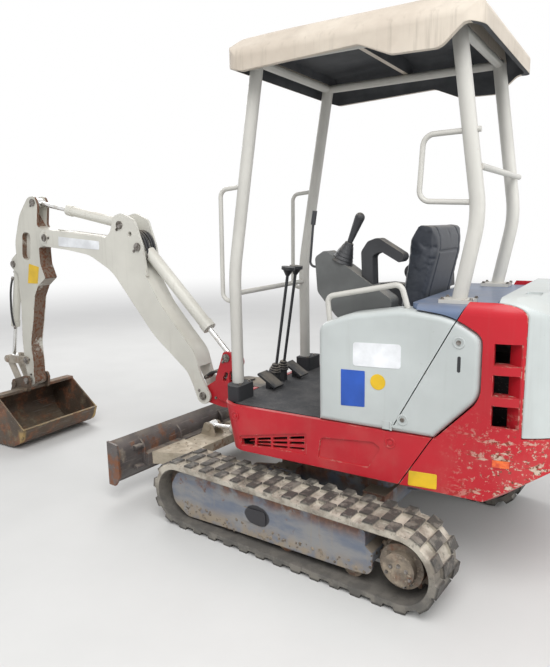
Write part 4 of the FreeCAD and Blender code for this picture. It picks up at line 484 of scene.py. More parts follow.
def muddy_steel(name, steel, rust_share=0.5, mud_share=0.5, mud=MUD, rubbed=None):
    """Bare working steel: scratched, rusted in clouds and caked where mud lies; rubbed adds a worn place."""
    f = Finish(name)
    steel = (*steel, 1.0)
    scratches = f.stretched((90.0, 6.0, 160.0), 3.0, 0.5, (0.3, 0.5, 0.2)).rise(0.60, 0.68)
    tone = f.mix(f.noise(5.0, 5.0, 0.65).rise(0.35, 0.65), shade(steel, 0.7), steel)
    rust = f.noise(9.0, 6.0, 0.68).rise(0.62 - 0.24 * rust_share, 0.70 - 0.16 * rust_share)
    rust_tone = f.mix(f.noise(44.0, 4.0).rise(0.35, 0.65), RUST, STEEL_RUST)
    tone = f.mix(rust * 0.8, tone, rust_tone)
    tone = f.mix(scratches * 0.35, tone, SCRATCH_SHINE)
    level = f.up.rise(0.3, 0.9) * f.noise(13.0, 5.0).rise(0.30, 0.55)
    cake = f.noise(6.5, 5.0, 0.62).rise(0.66 - 0.26 * mud_share, 0.76 - 0.22 * mud_share)
    caked = (level * min(1.0, mud_share * 1.6)).most(cake)
    tone = f.mix(caked, tone, f.mix(f.noise(28.0, 4.0).rise(0.3, 0.7), shade(mud, 0.72), mud))
    edge = f.edges(0.006) * f.noise(40.0, 3.0).rise(0.36, 0.6)
    tone = f.mix(edge * 0.5, tone, EDGE_SHINE)
    if rubbed:
        mask, colour = rubbed(f)
        tone = f.mix(mask, tone, colour)
    rough = 0.5 + 0.2 * rust + 0.3 * caked
    height = f.noise(150.0, 5.0, 0.65) * (0.25 + rust * 0.5 + caked)
    return f.close(Base_Color=tone, Roughness=rough, Metallic=(1.0 - rust.most(caked)) * 0.35,
                   Normal=f.bumped(height, 0.0012, 0.003))


print("helper: muddy_steel")

# %% [markdown]
# The bucket's lip is rubbed to a tan shine by what it digs, and the blade's end plates are orange with
# rust. Both places are found from the piece's own box, so they stay on the lip and the ends if the piece
# grows. The push arms and the links still hold some paint, under a lighter mud.

# %% Working steels
LIP_TAN = (0.42, 0.29, 0.115, 1.0)
WING_ORANGE = (0.22, 0.085, 0.038, 1.0)


def lip_polish(f):
    """Yellow-tan band along the bucket's lip, where the earth rubs."""
    low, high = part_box("bucket")
    rim = f.edges(0.010, 0.02, 0.2) * f.noise(26.0, 4.0).rise(0.30, 0.5)
    near_side = f.y.size().rise(high.y - 0.035, high.y - 0.012)
    corner = near_side * (1.0 - f.z.rise(0.10, 0.20)) * f.noise(15.0, 4.0).rise(0.36, 0.55)
    front = 1.0 - f.x.rise(low.x + 0.035, low.x + 0.075)
    return front * rim.most(corner), LIP_TAN


def wing_rust(f):
    """Orange rust on the blade's end plates."""
    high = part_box("blade_wing_left")[1]
    ends = f.y.size().rise(high.y - 0.06, high.y - 0.02)
    return ends * f.noise(13.0, 5.0, 0.6).rise(0.42, 0.6), WING_ORANGE


finishes["worn_steel"] = muddy_steel("running_gear_steel", (0.20, 0.165, 0.13),
                                     rust_share=0.6, mud_share=0.75)
finishes["engine_iron"] = muddy_steel("engine_iron", (0.05, 0.052, 0.056), rust_share=0.3, mud_share=0.1)
blade_steel = muddy_steel("blade_steel", (0.155, 0.14, 0.135), rust_share=0.35, mud_share=0.35,
                          mud=(0.27, 0.23, 0.18, 1.0), rubbed=wing_rust)
bucket_steel = muddy_steel("bucket_steel", (0.115, 0.085, 0.062), rust_share=0.62, mud_share=0.30,
                           mud=(0.20, 0.16, 0.105, 1.0), rubbed=lip_polish)
push_arm_paint = muddy_steel("push_arm_paint", (0.56, 0.49, 0.38), rust_share=0.2, mud_share=0.55,
                             mud=(0.44, 0.375, 0.28, 1.0))
link_paint = muddy_steel("link_paint", (0.42, 0.38, 0.32), rust_share=0.35, mud_share=0.45,
                         mud=(0.26, 0.215, 0.16, 1.0))
print("muddy steels: running gear, engine, blade, bucket, push arms, links")

# %% [markdown]
# A rubber track picks up slurry, which dries pale in the grooves while the lugs rub dark and clean. The
# finish needs each point's height over the belt. The belt is a stadium, so that height is the distance from
# the line between the two axles, less the belt's radius. The tracks stand a little turned, so the place is
# turned back. A texture wrapped along the belt would do too, but it would need the belt unrolled first.

# %% Height over the belt
TRACK_TURN = math.radians(-5.1)
AXLES_MIDDLE_X = 0.055
AXLES_HALF = 0.6105
LUG_HEIGHT = 0.020


def lift_over_belt(f):
    """Height of a point over the track's belt."""
    low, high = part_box("track_left")
    belt_z = (low.z + high.z) / 2
    outer_radius = (high.z - low.z) / 2
    turned_back = f.node("ShaderNodeMapping", None, {"Vector": f.place, "Rotation": (0.0, 0.0, -TRACK_TURN)})
    along = f.axis(turned_back, 0)
    height = f.axis(turned_back, 2) - belt_z
    past_axle = ((along - AXLES_MIDDLE_X).size() - AXLES_HALF).most(0.0)
    radius = (past_axle * past_axle + height * height).power(0.5)
    return radius - (outer_radius - LUG_HEIGHT)


print("track: lugs", LUG_HEIGHT, "m high, turned", round(math.degrees(TRACK_TURN), 2), "degrees")

# %% [markdown]
# With that height known, the finish is a stack of layers. Dry slurry lies on the upper run, and the lower run
# is darker. The inside of the belt is darker too. On top come the tips of the lugs, bare rubber that the
# ground keeps clean.

# %% Track rubber
# each pair is a darker and a paler tone
DRY_SLURRY = ((0.24, 0.21, 0.17, 1.0), (0.50, 0.46, 0.385, 1.0))
LOWER_RUN_TONES = ((0.11, 0.105, 0.095, 1.0), (0.20, 0.185, 0.16, 1.0))
BARE_RUBBER = ((0.030, 0.029, 0.028, 1.0), (0.062, 0.057, 0.05, 1.0))
SLURRY_BLOT = (0.10, 0.092, 0.08, 1.0)
BELT_INSIDE = (0.085, 0.078, 0.07, 1.0)


def track_rubber():
    """Pale dried slurry on the belt, dark rubber on the lugs."""
    f = Finish("track_rubber")
    lift = lift_over_belt(f)
    worn = f.noise(22.0, 5.0, 0.65)
    top_of_lug = lift.rise(LUG_HEIGHT * 0.35, LUG_HEIGHT * 0.75) * (0.65 + 0.35 * worn.rise(0.40, 0.55))
    upper = f.z.rise(0.10, 0.30)
    dry = f.mix(f.noise(9.0, 5.0, 0.6).rise(0.36, 0.62), *DRY_SLURRY)
    # the lower run is darker than the upper run
    lower_run = f.mix(f.noise(14.0, 5.0, 0.6).rise(0.36, 0.62), *LOWER_RUN_TONES)
    belt = f.mix(upper, lower_run, dry)
    blots = f.noise(31.0, 5.0, 0.7).rise(0.56, 0.64) * 0.55
    belt = f.mix(blots, belt, SLURRY_BLOT)
    # the inside of the belt is darker
    inner = 1.0 - lift.rise(-0.024, -0.018)
    belt = f.mix(inner * 0.7, belt, BELT_INSIDE)
    rubber = f.mix(worn.rise(0.35, 0.65), *BARE_RUBBER)
    tone = f.mix(top_of_lug, belt, rubber)
    grain = f.noise(120.0, 5.0, 0.65) * 0.8 + f.noise(520.0, 2.0) * 0.2
    return f.close(Base_Color=tone, Roughness=0.78 - 0.14 * top_of_lug, Normal=f.bumped(grain, 0.0016, 0.004))


finishes["track_rubber"] = track_rubber()
print("track rubber: slurry on the belt, bare lugs")

# %% [markdown]
# The roof is one moulding, cream outside and charcoal inside. Two materials would need its faces sorted; here
# one recipe tells the inside by its normal, which points at a spot in the middle of the roof.

# %% Roof moulding
ROOF_MIDDLE_DROP = 0.085
CREAM = ((0.46, 0.40, 0.33, 1.0), (0.56, 0.50, 0.42, 1.0))
CHARCOAL = ((0.040, 0.043, 0.048, 1.0), (0.065, 0.068, 0.073, 1.0))
ROOF_STAIN = (0.24, 0.21, 0.17, 1.0)
ROOF_RUN = (0.26, 0.22, 0.175, 1.0)


def roof_plastic():
    """Cream outside and charcoal within: a face looks inward where its normal points at the roof's middle."""
    f = Finish("roof_moulding")
    low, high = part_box("canopy_roof")
    middle = ((low.x + high.x) / 2, 0.0, high.z - ROOF_MIDDLE_DROP)
    outward = f.node("ShaderNodeVectorMath", {"operation": "SUBTRACT"}, {0: f.place, 1: middle})
    inside = 1.0 - f.along(outward, f.facing).rise(-0.012, 0.002)
    cream = f.mix(f.noise(2.6, 5.0, 0.6).rise(0.34, 0.66), *CREAM)
    stains = f.up.rise(0.5, 1.0) * f.noise(7.0, 6.0, 0.7).rise(0.48, 0.66)
    cream = f.mix(stains * 0.5, cream, ROOF_STAIN)
    runs = f.stretched((40.0, 40.0, 2.5), 4.0, 0.6).rise(0.52, 0.74) * (1.0 - f.up.size().rise(0.4, 0.9))
    cream = f.mix(runs * 0.4, cream, ROOF_RUN)
    dark = f.mix(f.noise(8.0, 4.0).rise(0.3, 0.7), *CHARCOAL)
    return f.close(Base_Color=f.mix(inside, cream, dark), Roughness=0.55 + 0.2 * inside,
                   Normal=f.bumped(f.noise(700.0, 2.0), 0.0003, 0.006))


finishes["roof_plastic"] = roof_plastic()
print("roof moulding: middle", ROOF_MIDDLE_DROP, "m below its top")

# %% [markdown]
# Consoles, grips and hoses are grained plastic or rubber: small cells pressed by the mould, dust in the
# level places and paler edges where hands and boots scuff them. Voronoi cells give the grain; modelled
# pebbles would cost millions of faces.

# %% Grained plastic
def moulded(name, colour, gloss=0.5, grain=900.0, dirt=0.35, depth=0.00035):
    """Plastic with dust in its level places and paler scuffed edges; grain is in cells to the metre."""
    f = Finish(name)
    colour = (*colour, 1.0)
    tone = f.mix(f.noise(6.0, 4.0).rise(0.3, 0.7), shade(colour, 0.8), shade(colour, 1.15))
    dust = f.up.rise(0.3, 0.95) * f.noise(14.0, 5.0).rise(0.34, 0.62) * dirt
    tone = f.mix(dust, tone, DUST)
    tone = f.mix(f.edges(0.004) * 0.35, tone, shade(colour, 2.6))
    cells = f.node("ShaderNodeTexVoronoi", None, {"Vector": f.place, "Scale": grain})
    return f.close(Base_Color=tone, Roughness=gloss + 0.3 * dust, Normal=f.bumped(cells, depth, 0.003))


finishes["dark_plastic"] = moulded("black_plastic", (0.022, 0.023, 0.026), gloss=0.48)
finishes["grey_plastic"] = moulded("console_plastic", (0.100, 0.104, 0.102),
                                   gloss=0.46, grain=1100.0, dirt=0.25)
finishes["hose_rubber"] = moulded("hose_rubber", (0.020, 0.020, 0.022),
                                  gloss=0.55, grain=1600.0, dirt=0.5, depth=0.00015)
print("grained finishes: black plastic, console plastic, hose rubber")

# %% [markdown]
# The seat is covered in dark blue vinyl with a fine pebble grain and soft creases, rubbed paler where the
# driver sits. A cloth shader would look like felt, so it is a smooth skin with a trace of sheen.

# %% Seat vinyl
VINYL = ((0.012, 0.016, 0.025, 1.0), (0.026, 0.031, 0.042, 1.0))
VINYL_RUBBED = (0.060, 0.066, 0.078, 1.0)


def vinyl():
    """Seat skin: fine pebble grain, soft creases and body dust on what lies level."""
    f = Finish("seat_vinyl")
    tone = f.mix(f.noise(5.0, 4.0).rise(0.3, 0.7), *VINYL)
    rubbed = f.noise(10.0, 5.0, 0.65).rise(0.50, 0.66) * 0.35
    tone = f.mix(rubbed, tone, VINYL_RUBBED)
    dust = f.up.rise(0.5, 1.0) * f.noise(8.0, 5.0).rise(0.36, 0.6) * 0.25
    tone = f.mix(dust, tone, DUST)
    pebbles = f.node("ShaderNodeTexVoronoi", None, {"Vector": f.place, "Scale": 620.0})
    creases = f.stretched((60.0, 14.0, 60.0), 4.0, 0.6)
    return f.close(Base_Color=tone, Roughness=0.46 + 0.2 * dust, Sheen_Weight=0.1,
                   Normal=f.bumped(pebbles * 0.3 + creases, 0.0008))


finishes["seat_vinyl"] = vinyl()
print("seat vinyl: dark blue")

# %% [markdown]
# Four small finishes are left. The floor mat is black rubber, greyed and gritty from boots. The rods are
# hard chrome, wiped by their seals. Pin heads shine under grease that dust sticks to. The lamps' lenses are
# glossy over ribs. Each is one short recipe, because their wear has nothing in common.

# %% Mat, rods, pins and lenses
MAT_CLEAN, MAT_TRODDEN = (0.022, 0.023, 0.026, 1.0), (0.085, 0.082, 0.080, 1.0)
GRIT = (0.34, 0.31, 0.27, 1.0)
CHROME, OIL_HAZE = (0.78, 0.78, 0.77, 1.0), (0.42, 0.38, 0.32, 1.0)
PIN_BARE, PIN_GREASE = (0.30, 0.28, 0.26, 1.0), (0.07, 0.058, 0.045, 1.0)
LENS_RED, LENS_ORANGE = (0.60, 0.055, 0.012, 1.0), (0.85, 0.16, 0.02, 1.0)


def floor_rubber():
    """Ribless black mat, grey with the dust of boots."""
    f = Finish("floor_mat_rubber")
    tread = f.up.rise(0.4, 0.9) * f.noise(5.0, 6.0, 0.7).rise(0.36, 0.66)
    grit = f.noise(240.0, 4.0, 0.7).rise(0.60, 0.70) * f.up.rise(0.4, 0.9)
    tone = f.mix(tread * 0.6, MAT_CLEAN, MAT_TRODDEN)
    tone = f.mix(grit * 0.8, tone, GRIT)
    return f.close(Base_Color=tone, Roughness=0.85, Normal=f.bumped(f.noise(300.0, 4.0, 0.7), 0.0008, 0.003))


def bright_rod():
    """Hard chrome, wiped clean by its seal, with a haze of oil and dust."""
    f = Finish("chromed_rod")
    haze = f.noise(30.0, 5.0, 0.6).rise(0.42, 0.66)
    tone = f.mix(haze * 0.5, CHROME, OIL_HAZE)
    return f.close(Base_Color=tone, Metallic=1.0 - 0.5 * haze, Roughness=0.12 + 0.3 * haze,
                   Normal=f.bumped(f.noise(400.0, 2.0), 0.00005))


def pin_steel():
    """Greased pin heads that dust sticks to."""
    f = Finish("greasy_pin_steel")
    grease = f.noise(45.0, 5.0, 0.65).rise(0.38, 0.60)
    tone = f.mix(grease, PIN_BARE, PIN_GREASE)
    return f.close(Base_Color=tone, Metallic=0.7 - 0.6 * grease, Roughness=0.38 + 0.25 * grease,
                   Normal=f.bumped(f.noise(180.0, 4.0), 0.0006, 0.0015))


def lens_plastic():
    """Orange-red lens, glossy over a ribbed back."""
    f = Finish("lamp_lens")
    ribs = f.node("ShaderNodeTexWave", {"bands_direction": "Z"}, {"Vector": f.place, "Scale": 60.0})
    tone = f.mix(f.noise(40.0, 3.0).rise(0.35, 0.65), LENS_RED, LENS_ORANGE)
    return f.close(Base_Color=tone, Roughness=0.22 + 0.2 * f.noise(20.0, 4.0), Coat_Weight=0.5,
                   Normal=f.bumped(ribs, 0.0006))


finishes["floor_rubber"] = floor_rubber()
finishes["chrome_rod"] = bright_rod()
finishes["pin_steel"] = pin_steel()
finishes["lamp_plastic"] = lens_plastic()
print("finishes in all:", len(finishes))

# %% [markdown]
# Each node of the frame names the material it is made of. Most nodes take the finish of that name. The
# digging gear takes its own, because the same steel looks different on a blade that scrapes and on a bucket
# that digs.

# %% Finishes on the frame's nodes
OWN_FINISH = {
    "blade_board": blade_steel, "blade_wing_left": blade_steel, "blade_wing_right": blade_steel,
    "blade_arms": push_arm_paint, "bucket": bucket_steel, "rocker_links": link_paint, "push_link": link_paint,
    "arm": arm_enamel,
}
slot_of = {part["node"]: part["material_slot"] for part in frame["record"]["subparts"]}
for name, node in nodes.items():
    node.data.materials.clear()
    node.data.materials.append(OWN_FINISH.get(name, finishes[slot_of[name]]))
print("finished nodes:", len(nodes))

# %% [markdown]
# Every added piece ends the same way: its modifiers are turned into one plain mesh, and it is told which
# moving body it rides on and what it is painted with. Two small functions do that.

# %% Finished pieces
def object_from(name, mesh):
    """Object of a mesh, in the scene."""
    piece = bpy.data.objects.new(name, mesh)
    bpy.context.scene.collection.objects.link(piece)
    return piece


def settled(piece, body, material):
    """Give a finished piece its body and material."""
    piece.data.materials.clear()
    piece.data.materials.append(material)
    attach(piece, body)
    return piece


def with_modifiers_applied(piece):
    """Turn a piece and its live modifiers into one plain mesh."""
    evaluated = piece.evaluated_get(bpy.context.evaluated_depsgraph_get())
    mesh = bpy.data.meshes.new_from_object(evaluated)
    piece.modifiers.clear()
    piece.data = mesh
    return piece


print("helpers: object_from, settled, with_modifiers_applied")

# %% [markdown]
# A padded piece can't be drawn: foam pushes its cover out until the seams hold it. So the cover is blown up
# by the cloth solver. Its mesh starts as the frame's plain cushion, a little smaller, made of even squares
# by a voxel remesh, because cloth bends evenly only where its squares are even.

# %% Cushion blanks
COVER_SHRINK = 0.010
COVER_SQUARE = 0.006
SAME_POINT = 0.0001


def cushion_blank(name, node):
    """Copy of a cushion's plain solid, moved in all round and remeshed into even squares."""
    bm = bmesh.new()
    bm.from_mesh(nodes[node].data)
    bmesh.ops.remove_doubles(bm, verts=bm.verts, dist=SAME_POINT)
    bmesh.ops.recalc_face_normals(bm, faces=bm.faces)
    for vert in bm.verts:
        vert.co -= vert.normal * COVER_SHRINK
    mesh = bpy.data.meshes.new(name)
    bm.to_mesh(mesh)
    bm.free()
    piece = object_from(name, mesh)
    remesh = piece.modifiers.new("even_squares", "REMESH")
    remesh.mode = "VOXEL"
    remesh.voxel_size = COVER_SQUARE
    return with_modifiers_applied(piece)


print("cushion blanks: squares of", COVER_SQUARE, "m")

# %% [markdown]
# Pressure swells the cover for twenty frames, and a cap keeps it close to the real outline. A loop steps
# through the frames, since the solver only moves from one frame to the next. The cushion's foot is held, as
# its base holds it.

# %% Foam
FOAM_PRESSURE = 4.0
FOAM_FRAMES = 20
FOAM_RISE = 0.012
COVER_TENSION = 14.0
COVER_BENDING = 0.6


def blown_up(piece, held):
    """Swell a closed cover by cloth pressure, with the held vertices pinned and each move capped."""
    start = [v.co.copy() for v in piece.data.vertices]
    group = piece.vertex_groups.new(name="held")
    group.add([v.index for v in piece.data.vertices if held(v.co)], 1.0, "REPLACE")
    cloth = piece.modifiers.new("foam", "CLOTH")
    cloth.settings.vertex_group_mass = "held"
    cloth.settings.use_pressure = True
    cloth.settings.uniform_pressure_force = FOAM_PRESSURE
    cloth.settings.effector_weights.gravity = 0.0
    cloth.settings.tension_stiffness = COVER_TENSION
    cloth.settings.bending_stiffness = COVER_BENDING
    cloth.point_cache.frame_end = FOAM_FRAMES
    for number in range(1, FOAM_FRAMES + 1):
        bpy.context.scene.frame_set(number)
    with_modifiers_applied(piece)
    for vert, before in zip(piece.data.vertices, start):
        move = vert.co - before
        if move.length > FOAM_RISE:
            vert.co = before + move * (FOAM_RISE / move.length)
    bpy.context.scene.frame_set(1)


print("foam:", FOAM_FRAMES, "frames, at most", FOAM_RISE, "m")

# %% [markdown]
# The seat's cover is sewn from panels. A seam runs up each side of the middle panel, and others run across
# it: one on the cushion and two on the back. They are pressed in after the foam, because a remesh would rub
# them out, and as a soft groove along each line, because thread pulls the cover down on both sides.

# %% Seams
SEAM_DEPTH = 0.007
SEAM_WIDTH = 0.006


def pressed_seams(piece, distance_to_seam):
    """Press seams in: a vertex near one moves inward along its normal."""
    mesh = piece.data
    normals = [v.normal.copy() for v in mesh.vertices]
    for vert, normal in zip(mesh.vertices, normals):
        gap = distance_to_seam(vert.co, normal)
        if gap is not None and gap < 3 * SEAM_WIDTH:
            vert.co -= normal * SEAM_DEPTH * math.exp(-(gap / SEAM_WIDTH) ** 2)


print("seams:", SEAM_DEPTH, "m deep")

# %% [markdown]
# Now the two cushions go through the steps: blank, foam, one level of smoothing, seams. Each takes the
# place of the frame's plain cushion, and rides on the upper structure as the seat base does.

# %% Padded seat
SEAT_SEAM_Y = 0.148
CUSHION_SEAM_X = -0.10
BACK_SEAMS_Z = (1.16, 1.40)
HELD_FOOT = 0.02
# a normal that leans further sideways belongs to the cushion's side
SIDE_LEAN = 0.8


def seat_piece(name, node, cross_seams):
    """One cushion of the seat, with a seam each side of its middle panel and seams across it."""
    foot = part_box(node)[0].z + HELD_FOOT
    piece = cushion_blank(name, node)
    blown_up(piece, lambda co: co.z < foot)
    smooth = piece.modifiers.new("smooth", "SUBSURF")
    smooth.levels = smooth.render_levels = 1
    with_modifiers_applied(piece)

    def gap(co, normal):
        """Distance to the nearest seam, or None on the cushion's sides."""
        if abs(normal.y) > SIDE_LEAN:
            return None
        gaps = [abs(abs(co.y) - SEAT_SEAM_Y)]
        if abs(co.y) < SEAT_SEAM_Y:
            gaps += [abs(seam(co)) for seam in cross_seams]
        return min(gaps)

    pressed_seams(piece, gap)
    for polygon in piece.data.polygons:
        polygon.use_smooth = True
    settled(piece, "upper", finishes["seat_vinyl"])
    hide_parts(node)
    return piece


seat_cushion = seat_piece("seat_cushion_padded", "seat_cushion", [lambda co: co.x - CUSHION_SEAM_X])
seat_back = seat_piece("seat_back_padded", "seat_back",
                       [lambda co: co.z - BACK_SEAMS_Z[0], lambda co: co.z - BACK_SEAMS_Z[1]])
print("seat:", len(seat_cushion.data.polygons), "and", len(seat_back.data.polygons), "faces")

# %% [markdown]
# Bolts, latches and mud have to lie on their steel. Their places could be typed in full, but then a piece
# would float as soon as the steel moved. So only two coordinates are typed, and a ray finds the third on
# the frame's own surface, with the way that the surface faces.

# %% Rays on the frame's surfaces
RAY_START = 1.2
LEFTWARD, RIGHTWARD = (0.0, 1.0, 0.0), (0.0, -1.0, 0.0)
FORWARD, BACKWARD = (1.0, 0.0, 0.0), (-1.0, 0.0, 0.0)
UP, DOWN = (0.0, 0.0, 1.0), (0.0, 0.0, -1.0)


def skin(*names):
    """Search tree over the surfaces of some nodes."""
    points, faces = [], []
    for name in names:
        mesh = nodes[name].data
        first = len(points)
        points += [v.co.copy() for v in mesh.vertices]
        faces += [[first + i for i in polygon.vertices] for polygon in mesh.polygons]
    return BVHTree.FromPolygons(points, faces)


def touch(surface, start, toward):
    """Where a ray meets the surface and the way the surface faces there, turned against the ray."""
    hit, normal, _, _ = surface.ray_cast(Vector(start), Vector(toward))
    if hit is None:
        return None
    return hit, normal if normal.dot(Vector(toward)) < 0 else -normal


def from_side(surface, x, z, side):
    """Place and facing where a level ray from the left (1) or the right (-1) meets a surface."""
    return touch(surface, (x, side * RAY_START, z), RIGHTWARD if side > 0 else LEFTWARD)


def on_track(x, y, z):
    """A place of the undercarriage, which stands a little turned."""
    cos, sin = math.cos(TRACK_TURN), math.sin(TRACK_TURN)
    return (x * cos - y * sin, x * sin + y * cos, z)


print("helpers: skin, touch, from_side, on_track")

# %% [markdown]
# Bolts, washers, weld ripples and clods repeat one small shape many times. A Geometry Nodes tree sets that
# shape on a list of seats: each seat is a point with the way it faces and a size. A loop that copies
# objects would do it too, but the tree makes one mesh for each body, which is what the export wants.

# %% A tree that grows pieces
POINT_RADIUS = 0.001
FULL_TURN = 6.283
HALF = (0.5, 0.5, 0.5)


class Growth(Recipe):
    """Geometry tree that ends with whole, coloured meshes."""

    def __init__(self, name, inputs):
        tree = bpy.data.node_groups.new(name, "GeometryNodeTree")
        super().__init__(tree)
        self.keys = {}
        tree.interface.new_socket("Geometry", in_out="INPUT", socket_type="NodeSocketGeometry")
        for label, kind in inputs:
            self.keys[label] = tree.interface.new_socket(label, in_out="INPUT", socket_type=kind).identifier
        tree.interface.new_socket("Geometry", in_out="OUTPUT", socket_type="NodeSocketGeometry")
        self.entry = tree.nodes.new("NodeGroupInput")

    def given(self, label):
        """An input of the tree."""
        return Signal(self, self.entry.outputs[label])

    def named(self, name, kind):
        """A value that each seat carries."""
        return self.node("GeometryNodeInputNamedAttribute", {"data_type": kind}, {"Name": name})

    def raised(self, shape, height, squash=(1.0, 1.0, 1.0)):
        """The shape moved up and squashed."""
        sockets = {"Geometry": shape, "Translation": (0.0, 0.0, height), "Scale": squash}
        return self.node("GeometryNodeTransform", None, sockets)

    def together(self, shapes):
        """Several shapes as one."""
        parts = self.node("GeometryNodeJoinGeometry")
        for shape in shapes:
            self.tree.links.new(shape.socket, parts.socket.node.inputs[0])
        return parts

    def on_seats(self, shape):
        """The shape on each seat, along the seat's facing, turned by chance about it."""
        facing = self.node("FunctionNodeAlignRotationToVector", {"axis": "Z"},
                           {"Vector": self.named("facing", "FLOAT_VECTOR")})
        chance = self.node("FunctionNodeRandomValue", {"data_type": "FLOAT"},
                           {2: 0.0, 3: FULL_TURN, "Seed": self.given("Seed")}, output=1)
        spin = self.node("FunctionNodeAxisAngleToRotation", None, {"Axis": UP, "Angle": chance})
        turned = self.node("FunctionNodeRotateRotation", {"rotation_space": "LOCAL"},
                           {"Rotation": facing, "Rotate By": spin})
        points = self.node("GeometryNodeMeshToPoints", None,
                           {"Mesh": self.given("Geometry"), "Radius": POINT_RADIUS})
        return self.node("GeometryNodeInstanceOnPoints", None,
                         {"Points": points, "Instance": shape, "Rotation": turned,
                          "Scale": self.named("size", "FLOAT")})

    def end(self, geometry):
        """Make the instances real and give them their material."""
        whole = self.node("GeometryNodeRealizeInstances", None, {0: geometry})
        sockets = {"Geometry": whole, "Material": self.given("Material")}
        coloured = self.node("GeometryNodeSetMaterial", None, sockets)
        self.node("NodeGroupOutput", None, {0: coloured})
        return self


print("helper: Growth")

# %% [markdown]
# The seats go into a mesh without faces: its points carry the facing and the size as attributes, which the
# tree reads. The tree then runs as a modifier, and its result is kept as one plain mesh, because the export
# doesn't run modifiers.

# %% Growing a piece
def seat_mesh(name, seats):
    """Points that carry the way they face and their size."""
    mesh = bpy.data.meshes.new(name)
    mesh.from_pydata([place for place, _, _ in seats], [], [])
    facings = mesh.attributes.new("facing", "FLOAT_VECTOR", "POINT")
    facings.data.foreach_set("vector", [c for _, facing, _ in seats for c in facing])
    mesh.attributes.new("size", "FLOAT", "POINT").data.foreach_set("value", [size for _, _, size in seats])
    return mesh


def grown(name, growth, mesh, body, slot, material, **values):
    """Run a growth on a mesh, and keep the result as one plain piece of a body."""
    piece = object_from(name, mesh)
    grow = piece.modifiers.new("growth", "NODES")
    grow.node_group = growth.tree
    grow[growth.keys["Material"]] = material
    for label, value in values.items():
        grow[growth.keys[label]] = value
    made = settled(with_modifiers_applied(piece), body, material)
    print(name, "on", body, len(made.data.polygons), "faces")


print("helpers: seat_mesh, grown")

# %% [markdown]
# A bolt is a six-sided head with a chamfered crown over a round washer. It could be cut from a cylinder
# with a bevel, but a low cone on top of a prism gives the same edge with fewer faces. All its sizes are
# shares of the head's radius, so that a seat's size scales the whole bolt.

# %% The bolt
HEAD_DEPTH = 0.9
HEAD_MIDDLE = 0.72
CROWN_DEPTH = 0.16
CROWN_MIDDLE = 1.16
CROWN_RADIUS = 0.82
WASHER_RADIUS = 1.45
WASHER_DEPTH = 0.34
WASHER_MIDDLE = 0.14


def bolt_growth():
    """A bolt on each seat; the seat's size is the head's radius."""
    tree = Growth("bolts_on_seats", [("Seed", "NodeSocketInt"), ("Material", "NodeSocketMaterial")])
    head = tree.node("GeometryNodeMeshCylinder", None, {"Vertices": 6, "Radius": 1.0, "Depth": HEAD_DEPTH})
    crown = tree.node("GeometryNodeMeshCone", None, {"Vertices": 6, "Radius Top": CROWN_RADIUS,
                                                     "Radius Bottom": 1.0, "Depth": CROWN_DEPTH})
    washer = tree.node("GeometryNodeMeshCylinder", None, {"Vertices": 22, "Radius": WASHER_RADIUS,
                                                          "Depth": WASHER_DEPTH})
    bolt = tree.together([tree.raised(head, HEAD_MIDDLE), tree.raised(crown, CROWN_MIDDLE),
                          tree.raised(washer, WASHER_MIDDLE)])
    return tree.end(tree.on_seats(bolt))


bolts = bolt_growth()
print("bolt: washer", WASHER_RADIUS, "times as wide as the head")

# %% [markdown]
# Nine bolts hold each final drive. They stand in a ring about the axle, so a loop gives their places, and a
# ray from outside sets each on its hub.

# %% Bolts of the final drives
HUB_X, HUB_Z = -0.5555, 0.1425
HUB_OUTSIDE = 0.9
HUB_BOLTS = 9
HUB_BOLT_RING = 0.052
# share of a step by which the first bolt stands past level
HUB_FIRST_BOLT = 0.3
HUB_BOLT_SIZE = 0.0062


def seats_in(seats, found, size):
    """Add a seat where a ray has met something."""
    if found:
        seats.append((found[0], found[1], size))


def hub_seats():
    """A ring of bolts on each final drive."""
    seats = []
    for side, name in ((1, "left"), (-1, "right")):
        hub = skin("final_drive_" + name)
        for i in range(HUB_BOLTS):
            angle = math.tau * (i + HUB_FIRST_BOLT) / HUB_BOLTS
            start = on_track(HUB_X + HUB_BOLT_RING * math.cos(angle), side * HUB_OUTSIDE,
                             HUB_Z + HUB_BOLT_RING * math.sin(angle))
            seats_in(seats, touch(hub, start, on_track(0.0, -side, 0.0)), HUB_BOLT_SIZE)
    return seats


drive_bolts = hub_seats()
print("bolts on the final drives:", len(drive_bolts))

# %% [markdown]
# Four bolts hold each foot of the canopy's posts, and eight hold the roof to its frame. The rear feet stand
# on the high top cover and the front ones on the floor, so each pair has its own height to look down from.

# %% Bolts of the canopy
POST_Y = 0.354
FOOT_HALF_Y = 0.040
# x, half length of the foot, height above it
POST_FEET = ((-0.599, 0.058, 1.40), (0.508, 0.040, 0.85))
FOOT_BOLT_SIZE = 0.0065
ROOF_BOLTS_X = (-0.50, 0.22)
ROOF_BOLTS_Y = (0.20, 0.34)
ROOF_ABOVE = 2.6
ROOF_BOLT_SIZE = 0.0075


def canopy_seats():
    """Bolts of the posts' feet and of the roof."""
    seats = []
    feet = skin("post_feet", "canopy_frame", "top_cover")
    for x, half_x, above in POST_FEET:
        for side in (1, -1):
            for i in (-1, 1):
                for k in (-1, 1):
                    start = (x + i * half_x, side * POST_Y + k * FOOT_HALF_Y, above)
                    seats_in(seats, touch(feet, start, DOWN), FOOT_BOLT_SIZE)
    roof = skin("canopy_roof")
    for x in ROOF_BOLTS_X:
        for side in (1, -1):
            for y in ROOF_BOLTS_Y:
                seats_in(seats, touch(roof, (x, side * y, ROOF_ABOVE), DOWN), ROOF_BOLT_SIZE)
    return seats


canopy_bolts = canopy_seats()
print("bolts on the canopy:", len(canopy_bolts))

